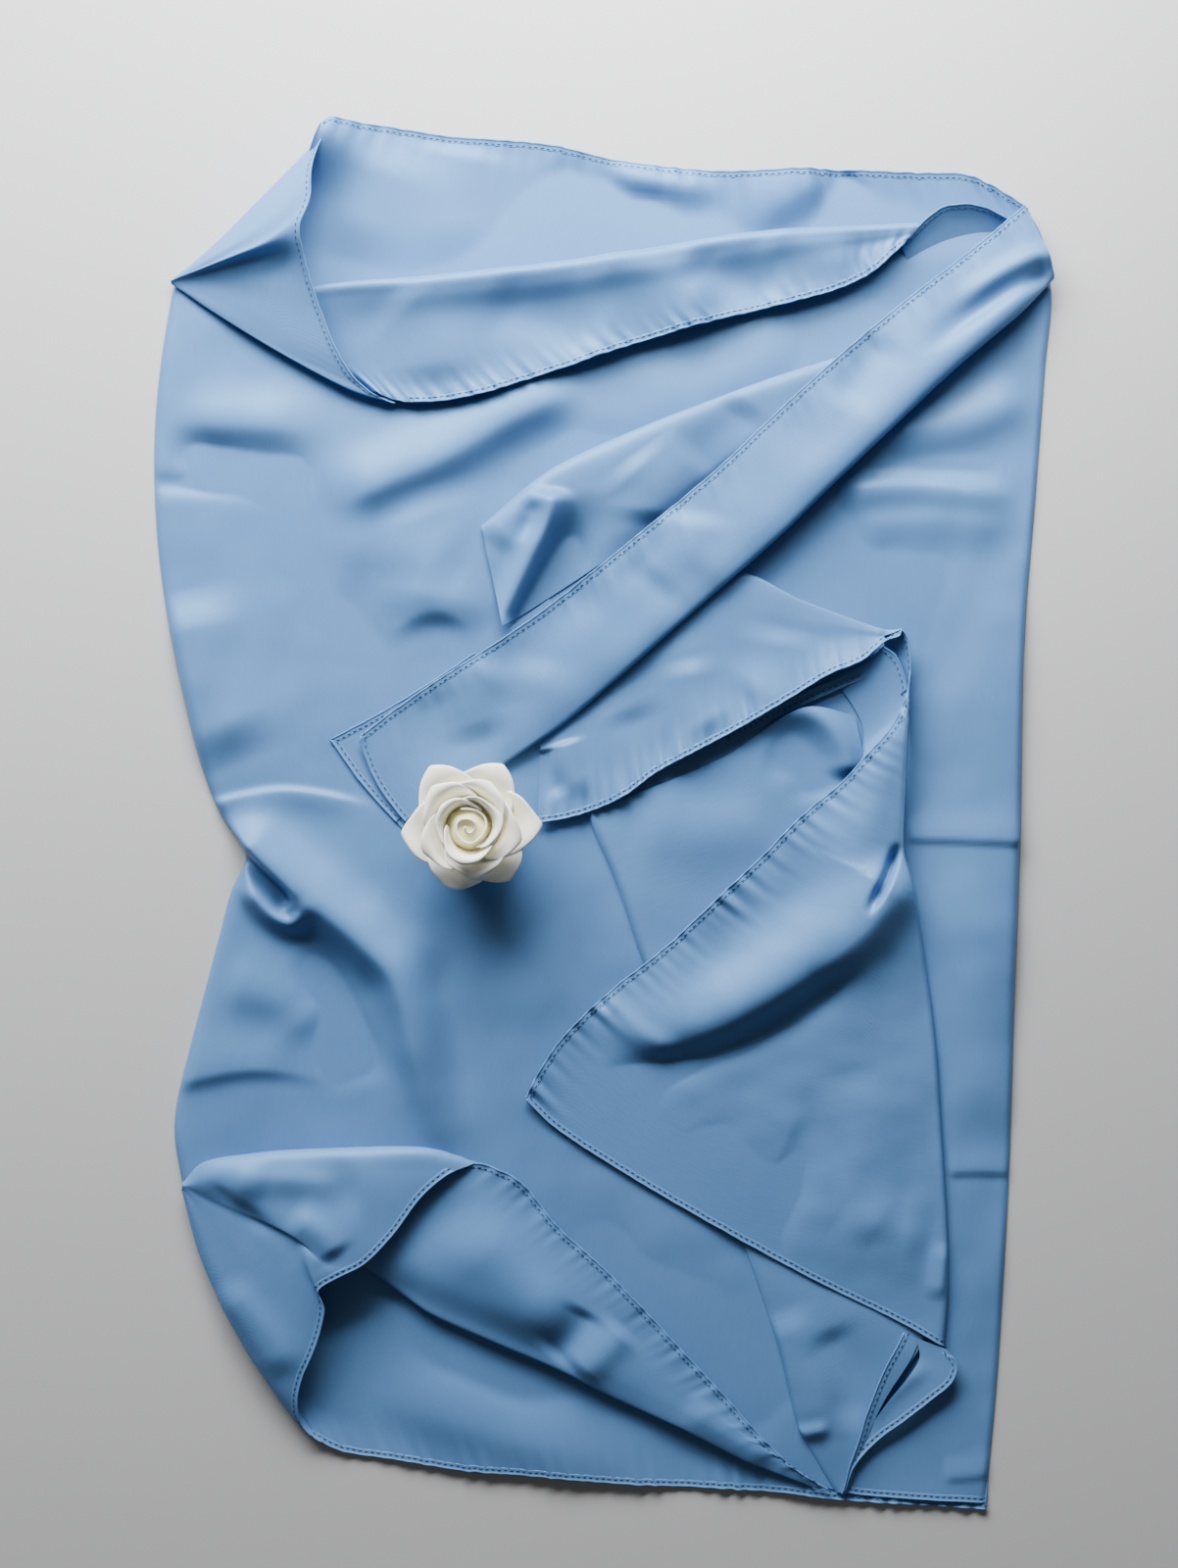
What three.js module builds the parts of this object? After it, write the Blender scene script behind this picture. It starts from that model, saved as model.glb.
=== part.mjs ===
// A rectangular satin wrap, folded double and laid flat with its ends turned over, and a foam rose resting on it.
// Millimetres. +Z is up, +Y runs from the bottom hem to the top hem, the origin is under the middle of the folded cloth.
import * as THREE from 'three';
import { mergeVertices } from 'three/addons/utils/BufferGeometryUtils.js';

// Folded cloth
const foldedWidth = 478; // left fold to right edge
const foldedLength = 733; // top hem to bottom hem
const clothThickness = 0.4;
const layerGap = 0.3; // between touching layers
const flatTop = 2 * (clothThickness + layerGap); // where a stretch lying on the two flat layers starts
const clothColour = 0x7a9cc8;

// Rose
const roseDiameter = 70;
const roseHeight = 44; // base to the tip of the bud
const roseSpot = [-0.29, -0.01, 1.3]; // share of the half width and half length, height over the flat layers
const baseDiameter = 46;
const baseHeight = 9;
const budDiameter = 16;
const petalThickness = 1.2;
const petalGap = 0.3; // between a petal's foot and the base, and between leaves that overlap
const foamColour = 0xf1eede;

const cloth = new THREE.MeshStandardMaterial({ color: clothColour, roughness: 0.55, metalness: 0 });
const foam = new THREE.MeshStandardMaterial({ color: foamColour, roughness: 0.8, metalness: 0 });
const wrap = new THREE.Group();

function addPiece(name, geometry, material, parent = wrap) {
  const mesh = new THREE.Mesh(geometry, material);
  mesh.name = name;
  parent.add(mesh);
}

// A place on the cloth: shares of the half width and half length, and a height in millimetres over the flat layers.
function spot([x, y, z = 0]) {
  return new THREE.Vector3(x * foldedWidth / 2, y * foldedLength / 2, flatTop + z);
}

// Even points along a smooth curve through hand-placed spots.
function alongRail(spots, steps) {
  const curve = new THREE.CatmullRomCurve3(spots.map(spot), false, 'centripetal');
  return curve.getSpacedPoints(steps);
}

// The line's direction at a point: halfway between the ways in and out, so both sides of a sharp fold keep apart.
function directionAt(before, here, after) {
  const arriving = here.clone().sub(before).normalize();
  const leaving = after.clone().sub(here).normalize();
  return arriving.add(leaving);
}

// One closed thin body from a grid of points: rows[i][j] is its middle surface.
function thickGrid(rows, thickness) {
  const rowCount = rows.length;
  const columnCount = rows[0].length;
  const lower = [];
  const upper = [];
  for (let i = 0; i < rowCount; i += 1) {
    for (let j = 0; j < columnCount; j += 1) {
      const here = rows[i][j];
      const along = directionAt(rows[i][Math.max(j - 1, 0)], here, rows[i][Math.min(j + 1, columnCount - 1)]);
      const across = directionAt(rows[Math.max(i - 1, 0)][j], here, rows[Math.min(i + 1, rowCount - 1)][j]);
      const outward = along.cross(across).normalize().multiplyScalar(thickness / 2);
      lower.push(here.clone().sub(outward));
      upper.push(here.clone().add(outward));
    }
  }
  const points = [...lower, ...upper];
  const count = rowCount * columnCount;
  const faces = [];
  const quad = (a, b, c, d) => faces.push(a, b, c, a, c, d);
  const at = (i, j) => i * columnCount + j;
  for (let i = 0; i + 1 < rowCount; i += 1) {
    for (let j = 0; j + 1 < columnCount; j += 1) {
      quad(count + at(i, j), count + at(i, j + 1), count + at(i + 1, j + 1), count + at(i + 1, j));
      quad(at(i, j), at(i + 1, j), at(i + 1, j + 1), at(i, j + 1));
    }
  }
  const rim = [];
  for (let j = 0; j + 1 < columnCount; j += 1) rim.push(at(0, j));
  for (let i = 0; i + 1 < rowCount; i += 1) rim.push(at(i, columnCount - 1));
  for (let j = columnCount - 1; j > 0; j -= 1) rim.push(at(rowCount - 1, j));
  for (let i = rowCount - 1; i > 0; i -= 1) rim.push(at(i, 0));
  rim.forEach((here, k) => {
    const next = rim[(k + 1) % rim.length];
    quad(here, next, count + next, count + here);
  });
  const geometry = new THREE.BufferGeometry();
  geometry.setAttribute('position', new THREE.Float32BufferAttribute(points.flatMap((p) => p.toArray()), 3));
  geometry.setIndex(faces);
  return outwardFacing(geometry);
}

// Turns a closed body the right way round if its volume comes out negative.
function outwardFacing(geometry) {
  const position = geometry.getAttribute('position');
  const index = geometry.getIndex();
  const corners = [new THREE.Vector3(), new THREE.Vector3(), new THREE.Vector3()];
  let volume = 0;
  for (let k = 0; k < index.count; k += 3) {
    corners.forEach((corner, n) => corner.fromBufferAttribute(position, index.getX(k + n)));
    volume += corners[0].dot(corners[1].clone().cross(corners[2]));
  }
  if (volume < 0) geometry.setIndex([...index.array].reverse());
  geometry.computeVertexNormals();
  return geometry;
}

// A stretch of cloth that lies flat: its outline and the layer that it forms, counted from the table.
function flatLayer(name, outline, layer) {
  const curve = new THREE.CatmullRomCurve3(outline.map(spot), true, 'centripetal');
  const points = curve.getPoints(outline.length * 3);
  const shape = new THREE.Shape(points.map((p) => new THREE.Vector2(p.x, p.y)));
  const geometry = new THREE.ExtrudeGeometry(shape, { depth: clothThickness, bevelEnabled: false, curveSegments: 1 });
  geometry.translate(0, 0, layer * (clothThickness + layerGap));
  addPiece(name, geometry, cloth);
}

// A stretch that rises off the layer under it: rails run along it, side by side.
function raisedStretch(name, rails, steps) {
  const rows = rails.map((rail) => alongRail(rail, steps));
  addPiece(name, thickGrid(rows, clothThickness), cloth);
}

const backOutline = [
  [-0.6, 0.99], [-0.48, 0.99], [-0.22, 0.98], [0.06, 0.95], [0.28, 0.94], [0.51, 0.94], [0.8, 0.93],
  [0.93, 0.89], [0.98, 0.84], [1, 0.78], [0.98, 0.65], [0.96, 0.47], [0.93, 0.11], [0.92, -0.16],
  [0.9, -0.51], [0.87, -0.86], [0.85, -0.96], [0.85, -1], [0.8, -1], [0.7, -0.99], [0.52, -0.98],
  [0.24, -0.97], [-0.17, -0.95], [-0.43, -0.93], [-0.61, -0.91], [-0.66, -0.89], [-0.75, -0.81],
  [-0.85, -0.67], [-0.93, -0.55], [-0.95, -0.46], [-0.94, -0.39], [-0.88, -0.22], [-0.83, -0.1],
  [-0.79, -0.05], [-0.87, 0.02], [-0.93, 0.15], [-0.98, 0.33], [-1, 0.49], [-0.98, 0.68],
  [-0.96, 0.78], [-0.84, 0.84], [-0.71, 0.93],
];
flatLayer('back_layer', backOutline, 0);

const frontOutline = [
  [-0.94, 0.76], [-0.64, 0.75], [-0.37, 0.76], [0.05, 0.79], [0.31, 0.82], [0.7, 0.84], [0.92, 0.85],
  [0.97, 0.81], [0.99, 0.77], [0.97, 0.65], [0.95, 0.47], [0.92, 0.11], [0.9, -0.16], [0.89, -0.51],
  [0.85, -0.86], [0.83, -0.98], [0.7, -0.98], [0.52, -0.97], [0.33, -0.93], [0.01, -0.83],
  [-0.37, -0.72], [-0.54, -0.64], [-0.77, -0.57], [-0.93, -0.52], [-0.94, -0.46], [-0.93, -0.39],
  [-0.86, -0.22], [-0.81, -0.1], [-0.78, -0.05], [-0.86, 0.02], [-0.92, 0.15], [-0.97, 0.33],
  [-0.99, 0.49], [-0.97, 0.68],
];
flatLayer('front_layer', frontOutline, 1);

// From under the roll, round its outer side, to its crease and hem.
const cornerOuter = [
  [
    [-0.91, 0.77, -0.5], [-0.83, 0.81, -0.5], [-0.72, 0.88, -0.5], [-0.63, 0.95, -0.5],
    [-0.59, 0.98, -0.5],
  ],
  [
    [-0.96, 0.78, 3.6], [-0.87, 0.82, 6.6], [-0.76, 0.9, 9.6], [-0.65, 0.97, 11.6], [-0.6, 1, 8.6],
  ],
  [
    [-0.95, 0.78, 7.6], [-0.85, 0.82, 13.6], [-0.74, 0.88, 17.6], [-0.66, 0.94, 18.6],
    [-0.62, 0.98, 15.6],
  ],
  [
    [-0.94, 0.78, 8.1], [-0.82, 0.81, 16.6], [-0.68, 0.86, 22.6], [-0.65, 0.91, 23.1],
    [-0.64, 0.95, 21.6],
  ],
];
raisedStretch('corner_outer', cornerOuter, 12);

// From the crease down to the lower fold.
const cornerInner = [
  [
    [-0.94, 0.78, 6.9], [-0.82, 0.81, 15.3], [-0.68, 0.85, 21.3],
  ],
  [
    [-0.94, 0.77, 5.1], [-0.83, 0.77, 11.6], [-0.65, 0.77, 15.6],
  ],
  [
    [-0.94, 0.77, 3.6], [-0.85, 0.75, 6.6], [-0.71, 0.7, 7.6], [-0.57, 0.65, 8.6],
  ],
  [
    [-0.94, 0.77, 2.1], [-0.86, 0.73, 3], [-0.67, 0.66, 3], [-0.54, 0.61, 3], [-0.47, 0.6, 3],
  ],
];
raisedStretch('corner_inner', cornerInner, 10);

// From behind the ridge, over it, down to the hem.
const collar = [
  [
    [-0.8, 0.76, 0.8], [-0.6, 0.77, 0.8], [-0.37, 0.77, 0.8], [0.05, 0.8, 0.8], [0.31, 0.83, 0.8],
    [0.66, 0.85, 0.8],
  ],
  [
    [-0.8, 0.77, 3.6], [-0.62, 0.78, 7.6], [-0.37, 0.78, 8.6], [0.05, 0.82, 7.6], [0.31, 0.85, 6.6],
    [0.68, 0.86, 4.1],
  ],
  [
    [-0.78, 0.76, 6.6], [-0.62, 0.76, 12.6], [-0.37, 0.77, 14.6], [0.05, 0.8, 12.6],
    [0.31, 0.83, 10.6], [0.67, 0.85, 6.6],
  ],
  [
    [-0.69, 0.71, 3.6], [-0.53, 0.7, 8.1], [-0.32, 0.7, 10.1], [0.05, 0.75, 8.6], [0.38, 0.8, 7.6],
    [0.67, 0.84, 5.6],
  ],
  [
    [-0.59, 0.66, 1.2], [-0.46, 0.61, 2], [-0.32, 0.61, 2.2], [-0.12, 0.65, 2.2], [0.12, 0.7, 2.2],
    [0.48, 0.76, 2.6], [0.67, 0.83, 4.1],
  ],
];
raisedStretch('collar', collar, 18);

// From the hem to the long fold.
const bandUnder = [
  [
    [0.92, 0.87, 9.6], [0.75, 0.78, 9.6], [0.51, 0.66, 9.6], [0.24, 0.5, 8.6], [-0.01, 0.36, 6.6],
    [-0.27, 0.24, 2.6], [-0.46, 0.17, 0.6], [-0.6, 0.11, 0.4],
  ],
  [
    [0.96, 0.83, 10.6], [0.83, 0.74, 10.6], [0.62, 0.61, 10.6], [0.33, 0.46, 9.6], [0.08, 0.32, 7.6],
    [-0.18, 0.18, 3.6], [-0.36, 0.09, 0.7], [-0.53, 0.05, 0.4],
  ],
  [
    [0.99, 0.78, 8.6], [0.91, 0.73, 8.6], [0.75, 0.64, 8.6], [0.57, 0.51, 8.1], [0.38, 0.4, 7.6],
    [0.17, 0.28, 6.1], [-0.03, 0.17, 3], [-0.22, 0.08, 0.7], [-0.44, -0.01, 0.4],
  ],
];
raisedStretch('band_under', bandUnder, 14);

// From the hem, over the crown, to the long fold.
const bandTop = [
  [
    [0.93, 0.89, 11.6], [0.76, 0.79, 11.6], [0.52, 0.67, 11.6], [0.25, 0.51, 10.6], [0, 0.37, 8.6],
    [-0.26, 0.24, 4.6], [-0.45, 0.16, 1.7], [-0.53, 0.12, 1.5],
  ],
  [
    [0.97, 0.84, 14.6], [0.83, 0.74, 14.6], [0.63, 0.62, 14.1], [0.34, 0.46, 13.1], [0.09, 0.33, 11.1],
    [-0.17, 0.19, 6.6], [-0.35, 0.1, 2], [-0.47, 0.05, 1.5],
  ],
  [
    [1, 0.78, 10.6], [0.92, 0.73, 11.1], [0.76, 0.64, 10.6], [0.58, 0.52, 10.1], [0.39, 0.41, 9.6],
    [0.18, 0.29, 8.6], [-0.02, 0.17, 5.2], [-0.2, 0.08, 2], [-0.42, -0.02, 1.5],
  ],
];
raisedStretch('band_top', bandTop, 18);

// From behind its ridge down to the edge under the band.
const pouchFold = [
  [
    [-0.24, 0.43, 0.8], [-0.12, 0.49, 0.8], [0.12, 0.56, 0.8], [0.36, 0.62, 0.8], [0.51, 0.64, 0.8],
  ],
  [
    [-0.27, 0.43, 3.6], [-0.14, 0.5, 6.6], [-0.08, 0.52, 7.6], [0.12, 0.58, 7.6], [0.36, 0.64, 5.6],
    [0.51, 0.665, 3.4],
  ],
  [
    [-0.25, 0.36, 4.6], [-0.1, 0.42, 7.1], [0.1, 0.49, 6.1], [0.31, 0.58, 4.6], [0.5, 0.645, 4.4],
  ],
  [
    [-0.22, 0.28, 1], [-0.03, 0.35, 1.2], [0.18, 0.46, 1.6], [0.38, 0.56, 1.8], [0.5, 0.615, 2.6],
  ],
];
raisedStretch('pouch_fold', pouchFold, 14);

// From the top edge to the hem.
const middleFlap = [
  [
    [-0.12, 0.15, 0.6], [0.07, 0.25, 1.2], [0.29, 0.36, 2.6], [0.44, 0.31, 3.6], [0.63, 0.275, 7.1],
  ],
  [
    [-0.15, 0.07, 0.8], [0.05, 0.14, 2.8], [0.27, 0.22, 4.1], [0.47, 0.25, 5.1], [0.635, 0.262, 7.3],
  ],
  [
    [-0.14, 0, 0.6], [-0.07, 0.01, 1.6], [0.09, 0.05, 3.2], [0.3, 0.14, 3.8], [0.49, 0.21, 5],
    [0.63, 0.25, 7.1],
  ],
];
raisedStretch('middle_flap', middleFlap, 12);

// From the loop's rim down to the layer below.
const loopLining = [
  [
    [0.63, 0.25, 5.6], [0.66, 0.21, 6.2], [0.64, 0.15, 5.2], [0.57, 0.09, 3.6],
  ],
  [
    [0.48, 0.18, 0.5], [0.53, 0.15, 0.5], [0.56, 0.12, 0.5], [0.55, 0.08, 0.5],
  ],
];
raisedStretch('loop_lining', loopLining, 6);

// A fan from the upper hem round to the right fold.
const lowerFlap = [
  [
    [0.68, 0.22, 10.6], [0.67, 0.16, 9.6], [0.58, 0.09, 7.6], [0.43, 0, 6.6], [0.23, -0.13, 5.6],
    [0.06, -0.23, 3], [-0.08, -0.32, 1.4], [-0.17, -0.4, 0.5],
  ],
  [
    [0.67, 0.21, 10.6], [0.63, 0.07, 9.6], [0.53, -0.05, 9.1], [0.38, -0.16, 8.6], [0.18, -0.33, 4.2],
    [0.01, -0.5, 1],
  ],
  [
    [0.675, 0.2, 10.5], [0.65, 0.05, 10.1], [0.6, -0.09, 11.1], [0.51, -0.23, 8.1], [0.38, -0.42, 4.6],
    [0.28, -0.6, 2.6],
  ],
  [
    [0.68, 0.195, 10.2], [0.665, 0.05, 9.8], [0.64, -0.09, 8.6], [0.65, -0.26, 6.6], [0.62, -0.49, 4.6],
    [0.53, -0.68, 3.4],
  ],
  [
    [0.69, 0.19, 9.6], [0.68, 0.06, 9.1], [0.67, -0.03, 8.2], [0.69, -0.12, 6.6], [0.72, -0.26, 5.6],
    [0.74, -0.43, 5.2], [0.77, -0.62, 5], [0.78, -0.78, 5],
  ],
];
raisedStretch('lower_flap', lowerFlap, 16);

// From the left edge to the right fold.
const underFlap = [
  [
    [-0.03, 0, 0.8], [0.03, -0.11, 0.8], [0.09, -0.21, 0.8], [0.18, -0.39, 0.8], [0.31, -0.61, 1],
    [0.37, -0.73, 1.2], [0.43, -0.86, 1.2], [0.51, -0.96, 1],
  ],
  [
    [0.25, 0.07, 0.8], [0.31, -0.09, 0.8], [0.4, -0.3, 0.8], [0.51, -0.52, 1], [0.57, -0.7, 1.4],
    [0.58, -0.83, 1.4], [0.53, -0.96, 1],
  ],
  [
    [0.52, 0.05, 0.8], [0.6, -0.06, 0.8], [0.66, -0.2, 0.8], [0.69, -0.37, 1], [0.72, -0.59, 1.2],
    [0.7, -0.73, 1.6], [0.63, -0.81, 1.6], [0.54, -0.96, 1],
  ],
];
raisedStretch('under_flap', underFlap, 12);

// From the outer hem to the inner one.
const funnel = [
  [
    [0.77, -0.79, 4], [0.73, -0.83, 4], [0.63, -0.88, 3.6], [0.55, -0.95, 2.6],
  ],
  [
    [0.72, -0.77, 2.8], [0.65, -0.81, 2.7], [0.59, -0.87, 2.6], [0.54, -0.94, 2.2],
  ],
];
raisedStretch('funnel', funnel, 6);

// From behind the ridge, over it, to the crease and hem.
const pouchTop = [
  [
    [-0.9, -0.52, 0.8], [-0.78, -0.5, 0.8], [-0.6, -0.49, 0.8], [-0.42, -0.49, 0.8], [-0.31, -0.5, 0.8],
  ],
  [
    [-0.93, -0.52, 3.6], [-0.78, -0.48, 6.6], [-0.6, -0.47, 6.6], [-0.42, -0.47, 5.6],
    [-0.28, -0.49, 3.6],
  ],
  [
    [-0.92, -0.53, 6.1], [-0.83, -0.52, 11.6], [-0.69, -0.54, 13.1], [-0.52, -0.54, 11.6],
    [-0.38, -0.5, 8.6], [-0.28, -0.5, 5.4],
  ],
  [
    [-0.9, -0.54, 8.4], [-0.81, -0.56, 13.4], [-0.67, -0.61, 17], [-0.58, -0.64, 15.1],
    [-0.48, -0.6, 12.6], [-0.38, -0.53, 10.1], [-0.29, -0.51, 7.4],
  ],
];
raisedStretch('pouch_top', pouchTop, 16);

// From under the roll to its crease and hem.
const sideFlap = [
  [
    [-0.89, -0.56, -0.5], [-0.82, -0.68, -0.5], [-0.7, -0.81, -0.5], [-0.63, -0.87, -0.5],
    [-0.57, -0.89, -0.5],
  ],
  [
    [-0.94, -0.53, 3.6], [-0.86, -0.68, 4.6], [-0.74, -0.83, 4.6], [-0.67, -0.9, 3.1],
    [-0.63, -0.91, 1.6],
  ],
  [
    [-0.93, -0.53, 6.2], [-0.82, -0.57, 11.8], [-0.67, -0.62, 15.6], [-0.65, -0.68, 14.6],
    [-0.62, -0.72, 13.6], [-0.66, -0.79, 11.6], [-0.68, -0.84, 9.6], [-0.64, -0.87, 7.2],
    [-0.6, -0.89, 5.2],
  ],
];
raisedStretch('side_flap', sideFlap, 16);

// From under the fold, over it, up to the hem.
const turnedUpFront = [
  [
    [-0.61, -0.6, 0.8], [-0.54, -0.63, 0.8], [-0.37, -0.71, 0.8], [0.01, -0.82, 0.8],
    [0.33, -0.92, 0.8], [0.47, -0.96, 0.8],
  ],
  [
    [-0.63, -0.62, 1.1], [-0.55, -0.65, 1.3], [-0.38, -0.73, 1.5], [0, -0.845, 1.5],
    [0.32, -0.945, 1.4], [0.48, -0.98, 1.2],
  ],
  [
    [-0.63, -0.62, 3.2], [-0.55, -0.65, 4.6], [-0.38, -0.73, 5.6], [0, -0.84, 5.4],
    [0.33, -0.94, 4.1], [0.49, -0.975, 3],
  ],
  [
    [-0.6, -0.58, 5.1], [-0.38, -0.62, 7.6], [-0.12, -0.71, 7.6], [0.18, -0.82, 6.2],
    [0.4, -0.91, 5.2], [0.51, -0.96, 4.2],
  ],
  [
    [-0.38, -0.51, 3.6], [-0.28, -0.5, 3.6], [-0.18, -0.52, 3.6], [0, -0.64, 3], [0.3, -0.86, 3],
    [0.44, -0.92, 3.4], [0.52, -0.94, 3.6],
  ],
];
raisedStretch('turned_up_front', turnedUpFront, 16);

// Rose: every piece stands on the cup, petals in three rings round the bud.
const rose = new THREE.Group();
rose.position.copy(spot(roseSpot));
wrap.add(rose);

const baseRadius = baseDiameter / 2;
const budRadius = budDiameter / 2;
const footHeight = baseHeight + petalGap;

// A turned solid from a profile of [radius, height] pairs that starts and ends on the axis.
function turned(profile, sides) {
  const lathe = new THREE.LatheGeometry(profile.map(([r, z]) => new THREE.Vector2(r, z)), sides);
  lathe.rotateX(Math.PI / 2);
  lathe.deleteAttribute('normal');
  lathe.deleteAttribute('uv');
  return outwardFacing(mergeVertices(lathe, 1e-3));
}

const cupProfile = [
  [0, 0], [0.5 * baseRadius, 0], [0.8 * baseRadius, 0.35 * baseHeight], [baseRadius, baseHeight], [0, baseHeight],
];
addPiece('rose_base', turned(cupProfile, 24), foam, rose);

const budProfile = [
  [0, footHeight], [0.8 * budRadius, footHeight], [budRadius, 0.55 * roseHeight], [0.95 * budRadius, 0.82 * roseHeight],
  [0.6 * budRadius, 0.97 * roseHeight], [0, roseHeight],
];
addPiece('rose_bud', turned(budProfile, 20), foam, rose);

// Each ring: petals stand like a shutter, one side further out than the other, so neighbours pass without touching.
const rings = [
  { name: 'petal_inner', count: 3, foot: 0.15, lip: 0.205, top: 0.93, flare: 0.02, overlap: 1.3, turn: 0.4 },
  { name: 'petal_middle', count: 5, foot: 0.215, lip: 0.33, top: 0.8, flare: 0.08, overlap: 1.25, turn: 1.1 },
  { name: 'petal_outer', count: 6, foot: 0.28, lip: 0.46, top: 0.56, flare: 0.12, overlap: 1.25, turn: 0.1 },
];
const shutterStep = 1.7 * (petalThickness + petalGap); // from one side of a petal to the other
const petalColumns = 10;
const petalRows = 6;

// The petal's middle line from foot to lip, as distance from the rose's axis and height.
function petalProfile(ring, reach) {
  const spread = ring.foot + (ring.lip - ring.foot) * reach ** 1.4 + ring.flare * reach ** 6;
  const rise = (ring.top * roseHeight - footHeight) * Math.sin(reach * Math.PI / 2);
  return new THREE.Vector2(spread * roseDiameter, footHeight + petalThickness / 3 + rise);
}

// Side to side is -0.5 to 0.5 and foot to lip is 0 to 1. The lip is pointed in the middle and turns outward.
function petalPoint(ring, side, rise) {
  const angle = side * ring.overlap * 2 * Math.PI / ring.count;
  const reach = rise * (1 - 0.9 * side * side);
  const middle = petalProfile(ring, reach);
  const slope = petalProfile(ring, reach + 0.01).sub(middle).normalize();
  const radius = middle.x + slope.y * shutterStep * side;
  const height = middle.y - slope.x * shutterStep * side;
  return new THREE.Vector3(radius * Math.cos(angle), radius * Math.sin(angle), height);
}

for (const ring of rings) {
  const rows = [];
  for (let i = 0; i <= petalRows; i += 1) {
    const row = [];
    for (let j = 0; j <= petalColumns; j += 1) row.push(petalPoint(ring, j / petalColumns - 0.5, i / petalRows));
    rows.push(row);
  }
  for (let n = 0; n < ring.count; n += 1) {
    const petal = thickGrid(rows, petalThickness);
    petal.rotateZ(ring.turn + n * 2 * Math.PI / ring.count);
    addPiece(`${ring.name}_${n + 1}`, petal, foam, rose);
  }
}

export default wrap;
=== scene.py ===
import bpy
import math
import random
import numpy as np
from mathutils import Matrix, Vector


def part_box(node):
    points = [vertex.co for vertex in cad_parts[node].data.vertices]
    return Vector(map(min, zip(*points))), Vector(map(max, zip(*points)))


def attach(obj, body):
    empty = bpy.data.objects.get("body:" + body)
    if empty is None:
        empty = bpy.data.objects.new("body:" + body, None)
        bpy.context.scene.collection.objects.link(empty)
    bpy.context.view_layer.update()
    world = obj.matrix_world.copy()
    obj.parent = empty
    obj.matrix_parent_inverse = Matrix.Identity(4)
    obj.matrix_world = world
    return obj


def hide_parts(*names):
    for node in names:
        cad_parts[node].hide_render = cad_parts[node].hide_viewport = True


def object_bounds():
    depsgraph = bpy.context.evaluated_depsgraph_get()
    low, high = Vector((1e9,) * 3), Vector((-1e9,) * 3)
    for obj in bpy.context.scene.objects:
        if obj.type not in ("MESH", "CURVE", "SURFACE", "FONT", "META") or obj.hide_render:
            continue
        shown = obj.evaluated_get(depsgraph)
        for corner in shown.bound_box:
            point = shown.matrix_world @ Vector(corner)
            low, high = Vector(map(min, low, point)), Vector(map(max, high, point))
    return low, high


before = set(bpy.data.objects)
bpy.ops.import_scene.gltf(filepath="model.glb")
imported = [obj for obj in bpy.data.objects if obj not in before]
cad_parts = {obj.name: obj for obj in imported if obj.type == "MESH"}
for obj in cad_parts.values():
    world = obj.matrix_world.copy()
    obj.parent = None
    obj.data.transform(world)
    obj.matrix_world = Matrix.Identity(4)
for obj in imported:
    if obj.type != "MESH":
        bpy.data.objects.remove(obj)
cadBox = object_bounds()
halfWidth = (cadBox[1][0] - cadBox[0][0]) / 2
halfLength = (cadBox[1][1] - cadBox[0][1]) / 2
mm = 0.001
scene = bpy.context.scene


def spot(point):  # shares of the half width and half length, height in mm
    return np.array([point[0] * halfWidth, point[1] * halfLength, (point[2] if len(point) > 2 else 0) * mm])


def runLength(line):  # how far along a line each of its points lies
    steps = np.linalg.norm(np.diff(line, axis=0), axis=1)
    return np.concatenate([[0], np.cumsum(steps)])


def evenly(points, count):  # count + 1 points at even distances along a polyline
    along = runLength(points)
    wanted = np.linspace(0, along[-1], count + 1)
    return np.stack([np.interp(wanted, along, points[:, k]) for k in range(points.shape[1])], axis=1)


def between(first, second, start, end, place):  # first at start, second at end, in proportion at place
    return (end - place) / (end - start) * first + (place - start) / (end - start) * second


def through(points, perSpan=12):  # a smooth line through points, without overshoot at uneven spacing
    points = np.asarray(points, float)
    if len(points) < 3:
        return evenly(points, perSpan * 2)
    padded = np.concatenate([[2 * points[0] - points[1]], points, [2 * points[-1] - points[-2]]])
    line = []
    for k in range(1, len(padded) - 2):
        before, start, end, after = padded[k - 1:k + 3]
        spans = ((before, start), (start, end), (end, after))
        near, middle, far = np.cumsum([max(np.linalg.norm(b - a), 1e-6) ** 0.5 for a, b in spans])
        for place in np.linspace(near, middle, perSpan, endpoint=False):
            coming = between(before, start, 0, near, place)
            crossing = between(start, end, near, middle, place)
            leaving = between(end, after, middle, far, place)
            early = between(coming, crossing, 0, middle, place)
            late = between(crossing, leaving, near, far, place)
            line.append(between(early, late, near, middle, place))
    return np.array(line + [points[-1]])


def smoothStep(share):
    share = np.clip(share, 0, 1)
    return share * share * (3 - 2 * share)


def loft(rails, along, across):  # a grid over smooth rails, smooth from rail to rail too
    rows = [evenly(through([spot(p) for p in rail]), along) for rail in rails]
    columns = [evenly(through([row[k] for row in rows]), across) for k in range(along + 1)]
    return np.transpose(np.array(columns), (1, 0, 2))


def patch(sides, along, across):  # a grid between four sides, which run to the right and down
    top = evenly(through([spot(p) for p in sides["top"]]), along)
    bottom = evenly(through([spot(p) for p in sides["bottom"]]), along)
    left = evenly(through([spot(p) for p in sides["left"]]), across)
    right = evenly(through([spot(p) for p in sides["right"]]), across)
    over = np.linspace(0, 1, along + 1)[None, :, None]
    down = np.linspace(0, 1, across + 1)[:, None, None]
    upper = (1 - over) * top[0] + over * top[-1]
    lower = (1 - over) * bottom[0] + over * bottom[-1]
    corners = (1 - down) * upper + down * lower
    upright = (1 - down) * top[None] + down * bottom[None]
    return upright + (1 - over) * left[:, None] + over * right[:, None] - corners


# what every fold's height and width are multiplied by
relief = {"height": 1.95, "width": 0.88}
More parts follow.
